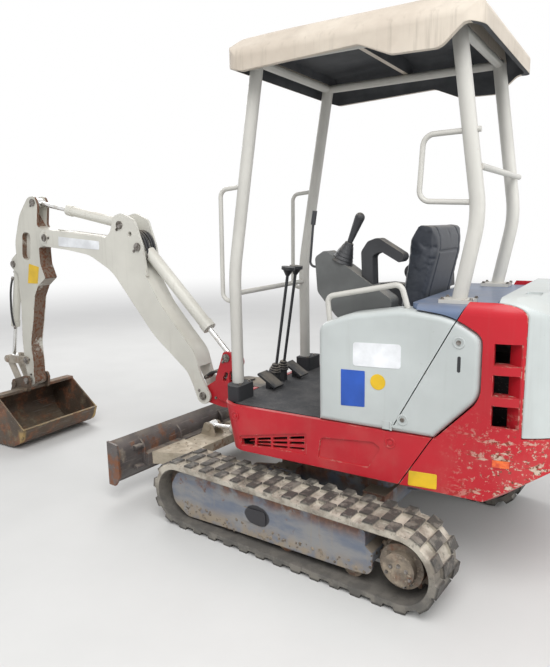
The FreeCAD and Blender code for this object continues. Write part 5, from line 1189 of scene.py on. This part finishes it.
# %% [markdown]
# A row of bolts holds the blade's cutting edge, so that it can be changed when it is worn. The linkage's
# pins are locked by one bolt beside each end. The row is a loop along the turned blade; the locks are short
# lists of places.

# %% Bolts of the blade and the pins
EDGE_BOLT_STEPS = range(-4, 5)
EDGE_BOLT_PITCH = 0.105
EDGE_BOLT_Z = 0.128
EDGE_BOLT_SIZE = 0.008
BLADE_AHEAD = 1.6
BOOM_LOCKS = [(1.470, 1.386), (1.606, 1.518), (1.004, 0.560), (2.262, 1.470)]
ARM_LOCKS = [(2.440, 1.690), (2.618, 0.585), (2.612, 0.470)]
BRACKET_LOCKS = [(0.830, 0.750), (0.900, 0.520)]
LOCK_SIZE = 0.0065
ARM_LOCK_SIZE = 0.0060


def edge_seats():
    """A row of bolts along the cutting edge."""
    board, seats = skin("blade_board", "blade_wing_left", "blade_wing_right"), []
    for i in EDGE_BOLT_STEPS:
        start = on_track(BLADE_AHEAD, i * EDGE_BOLT_PITCH, EDGE_BOLT_Z)
        seats_in(seats, touch(board, start, on_track(*BACKWARD)), EDGE_BOLT_SIZE)
    return seats


def lock_seats(node, places, size):
    """Bolts that lock pins, on both sides."""
    surface, seats = skin(node), []
    for x, z in places:
        for side in (1, -1):
            seats_in(seats, from_side(surface, x, z, side), size)
    return seats


BOLTS = [
    ("root", drive_bolts),
    ("upper", canopy_bolts),
    ("blade", edge_seats()),
    ("boom", lock_seats("boom", BOOM_LOCKS, LOCK_SIZE)),
    ("arm", lock_seats("arm", ARM_LOCKS, ARM_LOCK_SIZE)),
    ("swing", lock_seats("swing_bracket", BRACKET_LOCKS, LOCK_SIZE)),
]
for seed, (body, seats) in enumerate(BOLTS):
    name = "bolts_" + body
    grown(name, bolts, seat_mesh(name, seats), body, "pin_steel", finishes["pin_steel"], Seed=seed)

# %% [markdown]
# The boom and the arm are boxes of plate, welded along their edges, and the raised cheeks are welded on. A
# weld is a row of ripples, each one a small pool of metal that froze. Bump would give it no outline, so the
# growth lays flat beads one after the other along a line, each about half over the last.

# %% The weld
BEAD_SQUASH = (1.0, 1.0, 0.75)
BEAD_RADIUS = 0.0032
# from bead to bead, in bead radii
BEAD_STEP = 0.9


def weld_growth():
    """Ripples of a weld: flat beads set close along a line."""
    tree = Growth("weld_ripples", [("Radius", "NodeSocketFloat"), ("Material", "NodeSocketMaterial")])
    line = tree.node("GeometryNodeMeshToCurve", None, {"Mesh": tree.given("Geometry")})
    steps = tree.node("GeometryNodeResampleCurve", {"mode": "LENGTH"},
                      {"Curve": line, "Length": tree.given("Radius") * BEAD_STEP})
    bead = tree.node("GeometryNodeMeshIcoSphere", None, {"Radius": 1.0, "Subdivisions": 1})
    tangent = tree.node("GeometryNodeInputTangent")
    along = tree.node("FunctionNodeAlignRotationToVector", {"axis": "Z"}, {"Vector": tangent})
    made = tree.node("GeometryNodeInstanceOnPoints", None,
                     {"Points": steps, "Instance": tree.raised(bead, 0.0, BEAD_SQUASH), "Rotation": along,
                      "Scale": tree.given("Radius")})
    return tree.end(made)


welds = weld_growth()
print("weld: a bead every", round(BEAD_RADIUS * BEAD_STEP * 1000, 1), "mm")

# %% [markdown]
# The lines to weld along the edges are found, not drawn. Rows of parallel rays from below, above, ahead and
# behind meet the curved edges of the boom and the arm, and the points where they land make the line. The
# welds of the boom's cheeks follow a short list of points.

# %% Weld seams
BOOM_EDGE_Y = 0.0505
ARM_EDGE_Y = 0.0485
# first and last ray along the boom in x or the arm in z, and their number
BOOM_BELLY = (1.12, 2.20, 60)
BOOM_BACK = (1.76, 2.20, 24)
ARM_FRONT = (0.52, 1.20, 40)
ARM_REAR = (0.52, 1.05, 30)
# where the rays start: z under and over the boom, x ahead of and behind the arm
UNDER_BOOM, OVER_BOOM = 0.2, 2.2
AHEAD_OF_ARM, BEHIND_ARM = 3.2, 2.0
CHEEK_LINE = ((1.372, 1.232), (1.50, 1.309), (1.62, 1.380), (1.74, 1.452))
CHEEK_OUT = 1.035


def spread(low, high, count):
    """Even steps from low to high."""
    return [low + (high - low) * i / (count - 1) for i in range(count)]


def edge_line(surface, starts, toward):
    """Polyline where parallel rays meet a surface."""
    found = [touch(surface, start, toward) for start in starts]
    return [place_and_facing[0] for place_and_facing in found if place_and_facing]


def lines_mesh(name, lines):
    """Mesh of open polylines."""
    points, edges = [], []
    for line in lines:
        first = len(points)
        points += line
        edges += [(first + i, first + i + 1) for i in range(len(line) - 1)]
    mesh = bpy.data.meshes.new(name)
    mesh.from_pydata(points, edges, [])
    return mesh


boom_skin, arm_skin = skin("boom"), skin("arm")
boom_lines, arm_lines = [], []
for y in (-BOOM_EDGE_Y, BOOM_EDGE_Y):
    boom_lines.append(edge_line(boom_skin, [(x, y, UNDER_BOOM) for x in spread(*BOOM_BELLY)], UP))
    boom_lines.append(edge_line(boom_skin, [(x, y, OVER_BOOM) for x in spread(*BOOM_BACK)], DOWN))
    boom_lines.append([Vector((x, y * CHEEK_OUT, z)) for x, z in CHEEK_LINE])
for y in (-ARM_EDGE_Y, ARM_EDGE_Y):
    arm_lines.append(edge_line(arm_skin, [(AHEAD_OF_ARM, y, z) for z in spread(*ARM_FRONT)], BACKWARD))
    arm_lines.append(edge_line(arm_skin, [(BEHIND_ARM, y, z) for z in spread(*ARM_REAR)], FORWARD))
for body, lines in (("boom", boom_lines), ("arm", arm_lines)):
    name = body + "_welds"
    grown(name, welds, lines_mesh(name, lines), body, "white_paint", finishes["white_paint"],
          Radius=BEAD_RADIUS)

# %% [markdown]
# Turned parts, such as hose ends, latch barrels and rubber boots, are all a profile spun about an axis. A
# Screw modifier would do that too, but each part would need an object of its own. Here a profile becomes a
# mesh at its place at once, closed at both ends.

# %% Turned meshes
TURNED_STEPS = 26


def lathed(profile, place, facing, steps=TURNED_STEPS):
    """Mesh of a turned shape: the profile holds pairs of radius and height, from its foot up."""
    turn = Vector(facing).to_track_quat("Z", "Y").to_matrix()
    points, faces = [], []
    for radius, height in profile:
        for i in range(steps):
            angle = math.tau * i / steps
            spoke = Vector((radius * math.cos(angle), radius * math.sin(angle), height))
            points.append(Vector(place) + turn @ spoke)
    for ring in range(len(profile) - 1):
        for i in range(steps):
            k = (i + 1) % steps
            below, above = ring * steps, (ring + 1) * steps
            faces.append((below + i, below + k, above + k, above + i))
    faces.append(tuple(range(steps))[::-1])
    faces.append(tuple((len(profile) - 1) * steps + i for i in range(steps)))
    mesh = bpy.data.meshes.new("turned")
    mesh.from_pydata(points, [], faces)
    return mesh


print("helper: lathed, in", TURNED_STEPS, "steps")

# %% [markdown]
# Many small meshes make one piece. They are joined in a bmesh, which also turns all faces outward, shades
# the round faces smooth and keeps the sharp edges sharp. Joining objects would need the right ones selected
# first.

# %% Joined meshes
SHARP_ANGLE = math.radians(38)


def joined(name, meshes):
    """One object from several meshes, with its faces outward, round faces smooth and caps flat."""
    bm = bmesh.new()
    for mesh in meshes:
        bm.from_mesh(mesh)
        bpy.data.meshes.remove(mesh)
    bmesh.ops.recalc_face_normals(bm, faces=bm.faces)
    for face in bm.faces:
        face.smooth = len(face.verts) < 5
    for edge in bm.edges:
        if len(edge.link_faces) == 2 and edge.calc_face_angle() > SHARP_ANGLE:
            edge.smooth = False
    mesh = bpy.data.meshes.new(name)
    bm.to_mesh(mesh)
    bm.free()
    return object_from(name, mesh)


print("helper: joined")

# %% [markdown]
# A hose is a rubber tube with a crimped steel end at each port. A curve through a few points gives the bend
# that a hose takes by its own stiffness, and a bevel gives it its thickness. The crimped end is a turned
# profile with two grooves, set along the hose's last stretch.

# %% Tubes and crimped ends
# radius and height of the crimped end, as shares of the hose's radius
FERRULE = [(0.62, 0.0), (1.25, 0.0), (1.3, 0.4), (1.15, 0.6), (1.3, 0.8), (1.3, 2.6), (1.15, 2.8),
           (1.15, 3.4)]
FERRULE_STEPS = 16
HOSE_ROUND_STEPS = 4
HOSE_LENGTH_STEPS = 10


def swept(points, radius):
    """Mesh of a round tube through points."""
    curve = bpy.data.curves.new("sweep", "CURVE")
    curve.dimensions = "3D"
    curve.bevel_depth = radius
    curve.bevel_resolution = HOSE_ROUND_STEPS
    curve.resolution_u = HOSE_LENGTH_STEPS
    curve.use_fill_caps = True
    spline = curve.splines.new("BEZIER")
    spline.bezier_points.add(len(points) - 1)
    for point, place in zip(spline.bezier_points, points):
        point.co = place
        point.handle_left_type = point.handle_right_type = "AUTO"
    holder = object_from("sweep", curve)
    evaluated = holder.evaluated_get(bpy.context.evaluated_depsgraph_get())
    mesh = bpy.data.meshes.new_from_object(evaluated)
    bpy.data.objects.remove(holder)
    bpy.data.curves.remove(curve)
    return mesh


def ferrule(points, radius):
    """Crimped end, along the last stretch of a hose."""
    end, before = Vector(points[-1]), Vector(points[-2])
    profile = [(r * radius, h * radius) for r, h in FERRULE]
    return lathed(profile, end, (before - end).normalized(), FERRULE_STEPS)


print("helpers: swept, ferrule")

# %% [markdown]
# Three hoses lie on the swing bracket, four in the boom's well and two on the bucket cylinder, each on one
# moving body. Those that lie side by side share a route, which a factor spreads from the middle. Their points
# are chosen one by one, because a hose hangs as its fitter left it.

# %% Hoses
# x, how far the hoses spread from the middle, z
BRACKET_ROUTE = [(0.806, 1.0, 0.632), (0.840, 1.0, 0.664), (0.888, 1.0, 0.678), (0.940, 0.9, 0.666),
                 (0.992, 0.9, 0.628)]
WELL_ROUTE = [(1.520, 1.0, 1.500), (1.475, 1.1, 1.505), (1.425, 1.2, 1.475), (1.396, 1.2, 1.420),
              (1.386, 1.0, 1.345)]
BUCKET_HOSES = [
    [(2.742, 0.030, 1.190), (2.752, 0.046, 1.120), (2.768, 0.050, 1.000), (2.772, 0.048, 0.880),
     (2.770, 0.034, 0.800)],
    [(2.742, -0.030, 1.190), (2.756, -0.044, 1.130), (2.762, -0.046, 1.080), (2.758, -0.036, 1.030)],
]
BRACKET_HOSE_RADIUS = 0.0090
THIN_HOSE_RADIUS = 0.0075


def side_by_side(route, places_y):
    """One hose line for each y, along a common route."""
    return [[(x, y * share, z) for x, share, z in route] for y in places_y]


def hoses(name, body, lines, radius):
    """Rubber hoses of a body with steel ends."""
    tubes = joined(name, [swept(line, radius) for line in lines])
    settled(tubes, body, finishes["hose_rubber"])
    ends = [ferrule(line, radius) for line in lines] + [ferrule(line[::-1], radius) for line in lines]
    settled(joined(name + "_ends", ends), body, finishes["pin_steel"])
    print(name, "on", body, len(lines), "hoses")


hoses("bracket_hoses", "swing", side_by_side(BRACKET_ROUTE, (-0.024, 0.0, 0.024)), BRACKET_HOSE_RADIUS)
hoses("boom_well_hoses", "boom", side_by_side(WELL_ROUTE, (-0.030, -0.012, 0.012, 0.030)), THIN_HOSE_RADIUS)
hoses("bucket_hoses", "bucket_cylinder", BUCKET_HOSES, THIN_HOSE_RADIUS)

# %% [markdown]
# The side door's two latches are pressed round cups with a turning barrel. The skirts are fixed by screws in
# the same kind of cup, the rear hood has a round raised rim, and rubber boots with folds seal the two travel
# levers. All are turned profiles in metres; all but the boots are seated on the sheet metal by rays, and the
# boots stand at listed places.

# %% Latches, rims and lever boots
LATCH_RIM = [(0.0140, -0.0005), (0.0235, -0.0005), (0.0245, 0.0012), (0.0230, 0.0028), (0.0180, 0.0028),
             (0.0165, 0.0004)]
LATCH_BARREL = [(0.0095, -0.0005), (0.0100, 0.0036), (0.0090, 0.0050), (0.0030, 0.0050)]
HOOD_RIM = [(0.026, -0.001), (0.033, -0.001), (0.034, 0.0012), (0.032, 0.0024), (0.027, 0.0024),
            (0.0255, 0.0006)]
LEVER_BOOT = [(0.034, -0.001), (0.034, 0.006), (0.030, 0.010), (0.031, 0.018), (0.025, 0.022), (0.026, 0.030),
              (0.019, 0.034), (0.020, 0.044), (0.012, 0.050)]
LATCH_PLACES = ((-0.640, 1.068), (-0.420, 0.722))
SKIRT_SCREWS = ((0.438, 0.607), (-0.368, 0.611))
HOOD_RIM_START = (-2.0, 0.24, 1.085)
LEVER_FEET = [(0.482, y, 0.728) for y in (0.042, -0.042)]
LEVER_LEAN = Vector((-0.16, 0.0, 1.0))


def placed_turned(name, body, material, profiles, seats):
    """Turned pieces on their seats."""
    meshes = [lathed(profile, found[0], found[1]) for found in seats if found for profile in profiles]
    settled(joined(name, meshes), body, material)
    print(name, "on", body, len(meshes), "turned shapes")


door_skin, skirt_skin = skin("side_door"), skin("skirt_left", "skirt_right")
door_seats = [from_side(door_skin, x, z, 1) for x, z in LATCH_PLACES]
skirt_seats = [from_side(skirt_skin, x, z, side) for x, z in SKIRT_SCREWS for side in (1, -1)]
hood_seat = touch(skin("rear_hood"), HOOD_RIM_START, FORWARD)
lever_seats = [(foot, LEVER_LEAN) for foot in LEVER_FEET]
# name, body, slot, finish, profiles, seats
TURNED = [
    ("door_latch_cups", "side_door", "light_paint", "light_paint", [LATCH_RIM], door_seats),
    ("door_latch_barrels", "side_door", "pin_steel", "pin_steel", [LATCH_BARREL], door_seats),
    ("skirt_fixings", "upper", "red_paint", "red_paint", [LATCH_RIM, LATCH_BARREL], skirt_seats),
    ("hood_badge_ring", "rear_hood", "light_paint", "light_paint", [HOOD_RIM], [hood_seat]),
    ("travel_lever_boots", "upper", "floor_rubber", "hose_rubber", [LEVER_BOOT], lever_seats),
]
for name, body, slot, finish, profiles, seats in TURNED:
    placed_turned(name, body, finishes[finish], profiles, seats)

# %% [markdown]
# A plate's or a slot's outline is a few corners in x and z, each rounded by an arc that touches both edges,
# or a circle. A Bevel modifier would need the outline as a face first; working the arcs out keeps the
# outline a plain list of points, which the next cell can set on a curved skin.

# %% Rounded outlines
def round_corners(corners, radius, steps=5):
    """Outline with its corners rounded, as a list of points."""
    points, count = [], len(corners)
    for i, corner in enumerate(corners):
        here, before, after = Vector(corner), Vector(corners[i - 1]), Vector(corners[(i + 1) % count])
        back, on = (before - here).normalized(), (after - here).normalized()
        half = back.angle(on) / 2
        reach = min(radius / math.tan(half), (before - here).length / 2, (after - here).length / 2)
        middle = here + (back + on).normalized() * (reach / math.cos(half))
        first, last = here + back * reach - middle, here + on * reach - middle
        for k in range(steps + 1):
            points.append(middle + first.normalized().slerp(last.normalized(), k / steps) * first.length)
    return points


def circle(x, z, radius, steps=36):
    """Round outline."""
    angles = [math.tau * i / steps for i in range(steps)]
    return [Vector((x + radius * math.cos(angle), z + radius * math.sin(angle))) for angle in angles]


print("helpers: round_corners, circle")

# %% [markdown]
# Blank plates of plain colours lie on the cover, the tail, the boom and the arm. On the side door a thin dark
# sheet is a painted shadow: it stands for the shade in the pocket of the upright finger slot. A mask could
# paint them on, but a plate has a real edge that catches light. Rays set each point of the outline on the
# skin, and the plate gets its thickness outward.

# %% Thin plates
PLATE_GAP = 0.0002
PLATE_THICKNESS = 0.0010


def side_plate(name, node, outline, body, material, thickness=PLATE_THICKNESS):
    """Thin plate on a node's left face, from its outline in x and z."""
    surface = skin(node)
    seated = [from_side(surface, x, z, 1) for x, z in outline]
    bm = bmesh.new()
    back = [bm.verts.new((found[0].x, found[0].y + PLATE_GAP, found[0].z)) for found in seated if found]
    front = [bm.verts.new((v.co.x, v.co.y + thickness, v.co.z)) for v in back]
    bm.faces.new(front)
    bm.faces.new(back[::-1])
    for i in range(len(back)):
        k = (i + 1) % len(back)
        bm.faces.new((back[i], back[k], front[k], front[i]))
    bmesh.ops.recalc_face_normals(bm, faces=bm.faces)
    mesh = bpy.data.meshes.new(name)
    bm.to_mesh(mesh)
    bm.free()
    return settled(object_from(name, mesh), body, material)


print("helper: side_plate,", PLATE_THICKNESS, "m thick")

# %% [markdown]
# The plates are smooth and plain, in white, blue and yellow. Their corners are typed in metres, in x and z,
# as read from the machine's left side. Moulded plastic with almost no grain gives their finish.

# %% Blank plates and the finger slot's painted shadow
plate_white = moulded("plate_white", (0.80, 0.82, 0.84), gloss=0.28, grain=1500.0, dirt=0.12, depth=0.00004)
plate_blue = moulded("plate_blue", (0.018, 0.085, 0.42), gloss=0.32, grain=1500.0, dirt=0.25, depth=0.00004)
plate_yellow = moulded("plate_yellow", (0.72, 0.46, 0.015), gloss=0.34, grain=1500.0, dirt=0.3, depth=0.00004)
COVER_WHITE = [(-0.194, 0.930), (-0.194, 1.033), (-0.408, 1.040), (-0.408, 0.937)]
COVER_BLUE = [(-0.138, 0.746), (-0.138, 0.909), (-0.250, 0.912), (-0.250, 0.753)]
TAIL_YELLOW = [(-0.450, 0.440), (-0.450, 0.505), (-0.572, 0.511), (-0.572, 0.446)]
BOOM_WHITE = [(1.775, 1.392), (1.770, 1.446), (2.158, 1.478), (2.163, 1.414)]
ARM_YELLOW = [(2.440, 1.150), (2.410, 1.268), (2.515, 1.290), (2.548, 1.150)]
COVER_DISC = (-0.309, 0.871, 0.034)
# outline of the finger slot's painted shadow
FINGER_SLOT_SHADOW = [(-0.637, 0.950), (-0.637, 1.014), (-0.650, 1.014), (-0.650, 0.950)]
# name, node, outline, body, finish
PLATES = [
    ("cover_plate_white", "side_cover_left", round_corners(COVER_WHITE, 0.014), "upper", plate_white),
    ("cover_plate_blue", "side_cover_left", round_corners(COVER_BLUE, 0.003), "upper", plate_blue),
    ("cover_disc_yellow", "side_cover_left", circle(*COVER_DISC), "upper", plate_yellow),
    ("tail_plate_yellow", "counterweight", round_corners(TAIL_YELLOW, 0.006), "upper", plate_yellow),
    ("boom_plate_white", "boom", round_corners(BOOM_WHITE, 0.008), "boom", plate_white),
    ("arm_plate_yellow", "arm", round_corners(ARM_YELLOW, 0.004), "arm", plate_yellow),
]
for name, node, outline, body, material in PLATES:
    side_plate(name, node, outline, body, material)
# painted shadow: a thin dark sheet stands for the shade in the door's finger slot
side_plate("door_finger_slot_shadow", "side_door", round_corners(FINGER_SLOT_SHADOW, 0.006), "side_door",
           finishes["dark_plastic"], thickness=0.0006)
print("plates:", len(PLATES) + 1)

# %% [markdown]
# Clods of dried slurry hang where the tracks throw them: on the frames' ledges, round the drives and on the
# blade's arms. A clod is a low ball pushed about by noise and half sunk in its seat. Sculpting each would
# take hours, and a bump wouldn't stand out against the light.

# %% The clod
CLOD_SQUASH = (1.0, 0.8, 0.42)
# lumps to the metre
CLOD_LUMPS = 110.0
CLOD_PUSH = 0.010


def clod_growth():
    """Lumps of dried earth: a ball pushed about by noise, half sunk in its seat."""
    tree = Growth("clods_on_seats", [("Seed", "NodeSocketInt"), ("Material", "NodeSocketMaterial")])
    ball = tree.node("GeometryNodeMeshIcoSphere", None, {"Radius": 1.0, "Subdivisions": 2})
    flat = tree.raised(ball, 0.0, CLOD_SQUASH)
    whole = tree.node("GeometryNodeRealizeInstances", None, {0: tree.on_seats(flat)})
    place = tree.node("GeometryNodeInputPosition")
    push = tree.node("ShaderNodeTexNoise", None,
                     {"Vector": place, "Scale": CLOD_LUMPS, "Detail": 2.0}, output="Color")
    centred = tree.node("ShaderNodeVectorMath", {"operation": "SUBTRACT"}, {0: push, 1: HALF})
    offset = tree.node("ShaderNodeVectorMath", {"operation": "SCALE"}, {0: centred, "Scale": CLOD_PUSH})
    return tree.end(tree.node("GeometryNodeSetPosition", None, {"Geometry": whole, "Offset": offset}))


clods = clod_growth()
clod_mud = muddy_steel("dried_mud", (0.16, 0.13, 0.10), rust_share=0.0, mud_share=1.0)
print("clod:", CLOD_LUMPS, "lumps to the metre")

# %% [markdown]
# The clods are scattered by a fixed seed, so that every run gives the same mud. Each field is a flat
# rectangle of rays: two look at the left track's side, one looks down on the middle frame and one on the
# blade's arms.

# %% Clods of mud
LEFT_SIDE = ["track_frame_left", "final_drive_left", "rollers_left"]
# body, nodes, two corners of the field, the rays' way, their number, smallest and largest clod
CLOD_FIELDS = [
    ("root", LEFT_SIDE, (-0.55, 1.2, 0.06), (0.75, 1.2, 0.13), RIGHTWARD, 130, (0.003, 0.010)),
    ("root", LEFT_SIDE, (-0.60, 1.2, 0.07), (-0.36, 1.2, 0.24), RIGHTWARD, 60, (0.003, 0.009)),
    ("root", ["undercarriage_frame"], (-0.3, -0.35, 1.2), (0.45, 0.35, 1.2), DOWN, 60, (0.004, 0.012)),
    ("blade", ["blade_arms", "blade_board"], (0.80, -0.6, 1.0), (1.12, 0.45, 1.0), DOWN, 90, (0.003, 0.009)),
]
chance = random.Random(7)


def clod_seats(names, corner, opposite, toward, count, sizes):
    """Seats by chance where the rays of a field meet some nodes."""
    surface, seats = skin(*names), []
    for _ in range(count):
        start = [chance.uniform(a, b) for a, b in zip(corner, opposite)]
        found = touch(surface, start, toward)
        if found:
            seats.append((found[0], found[1], chance.uniform(*sizes)))
    return seats


mud_seats = {"root": [], "blade": []}
for body, *field in CLOD_FIELDS:
    mud_seats[body] += clod_seats(*field)
for name, body, seed in (("undercarriage_clods", "root", 3), ("blade_clods", "blade", 4)):
    grown(name, clods, seat_mesh(name, mud_seats[body]), body, "worn_steel", clod_mud, Seed=seed)
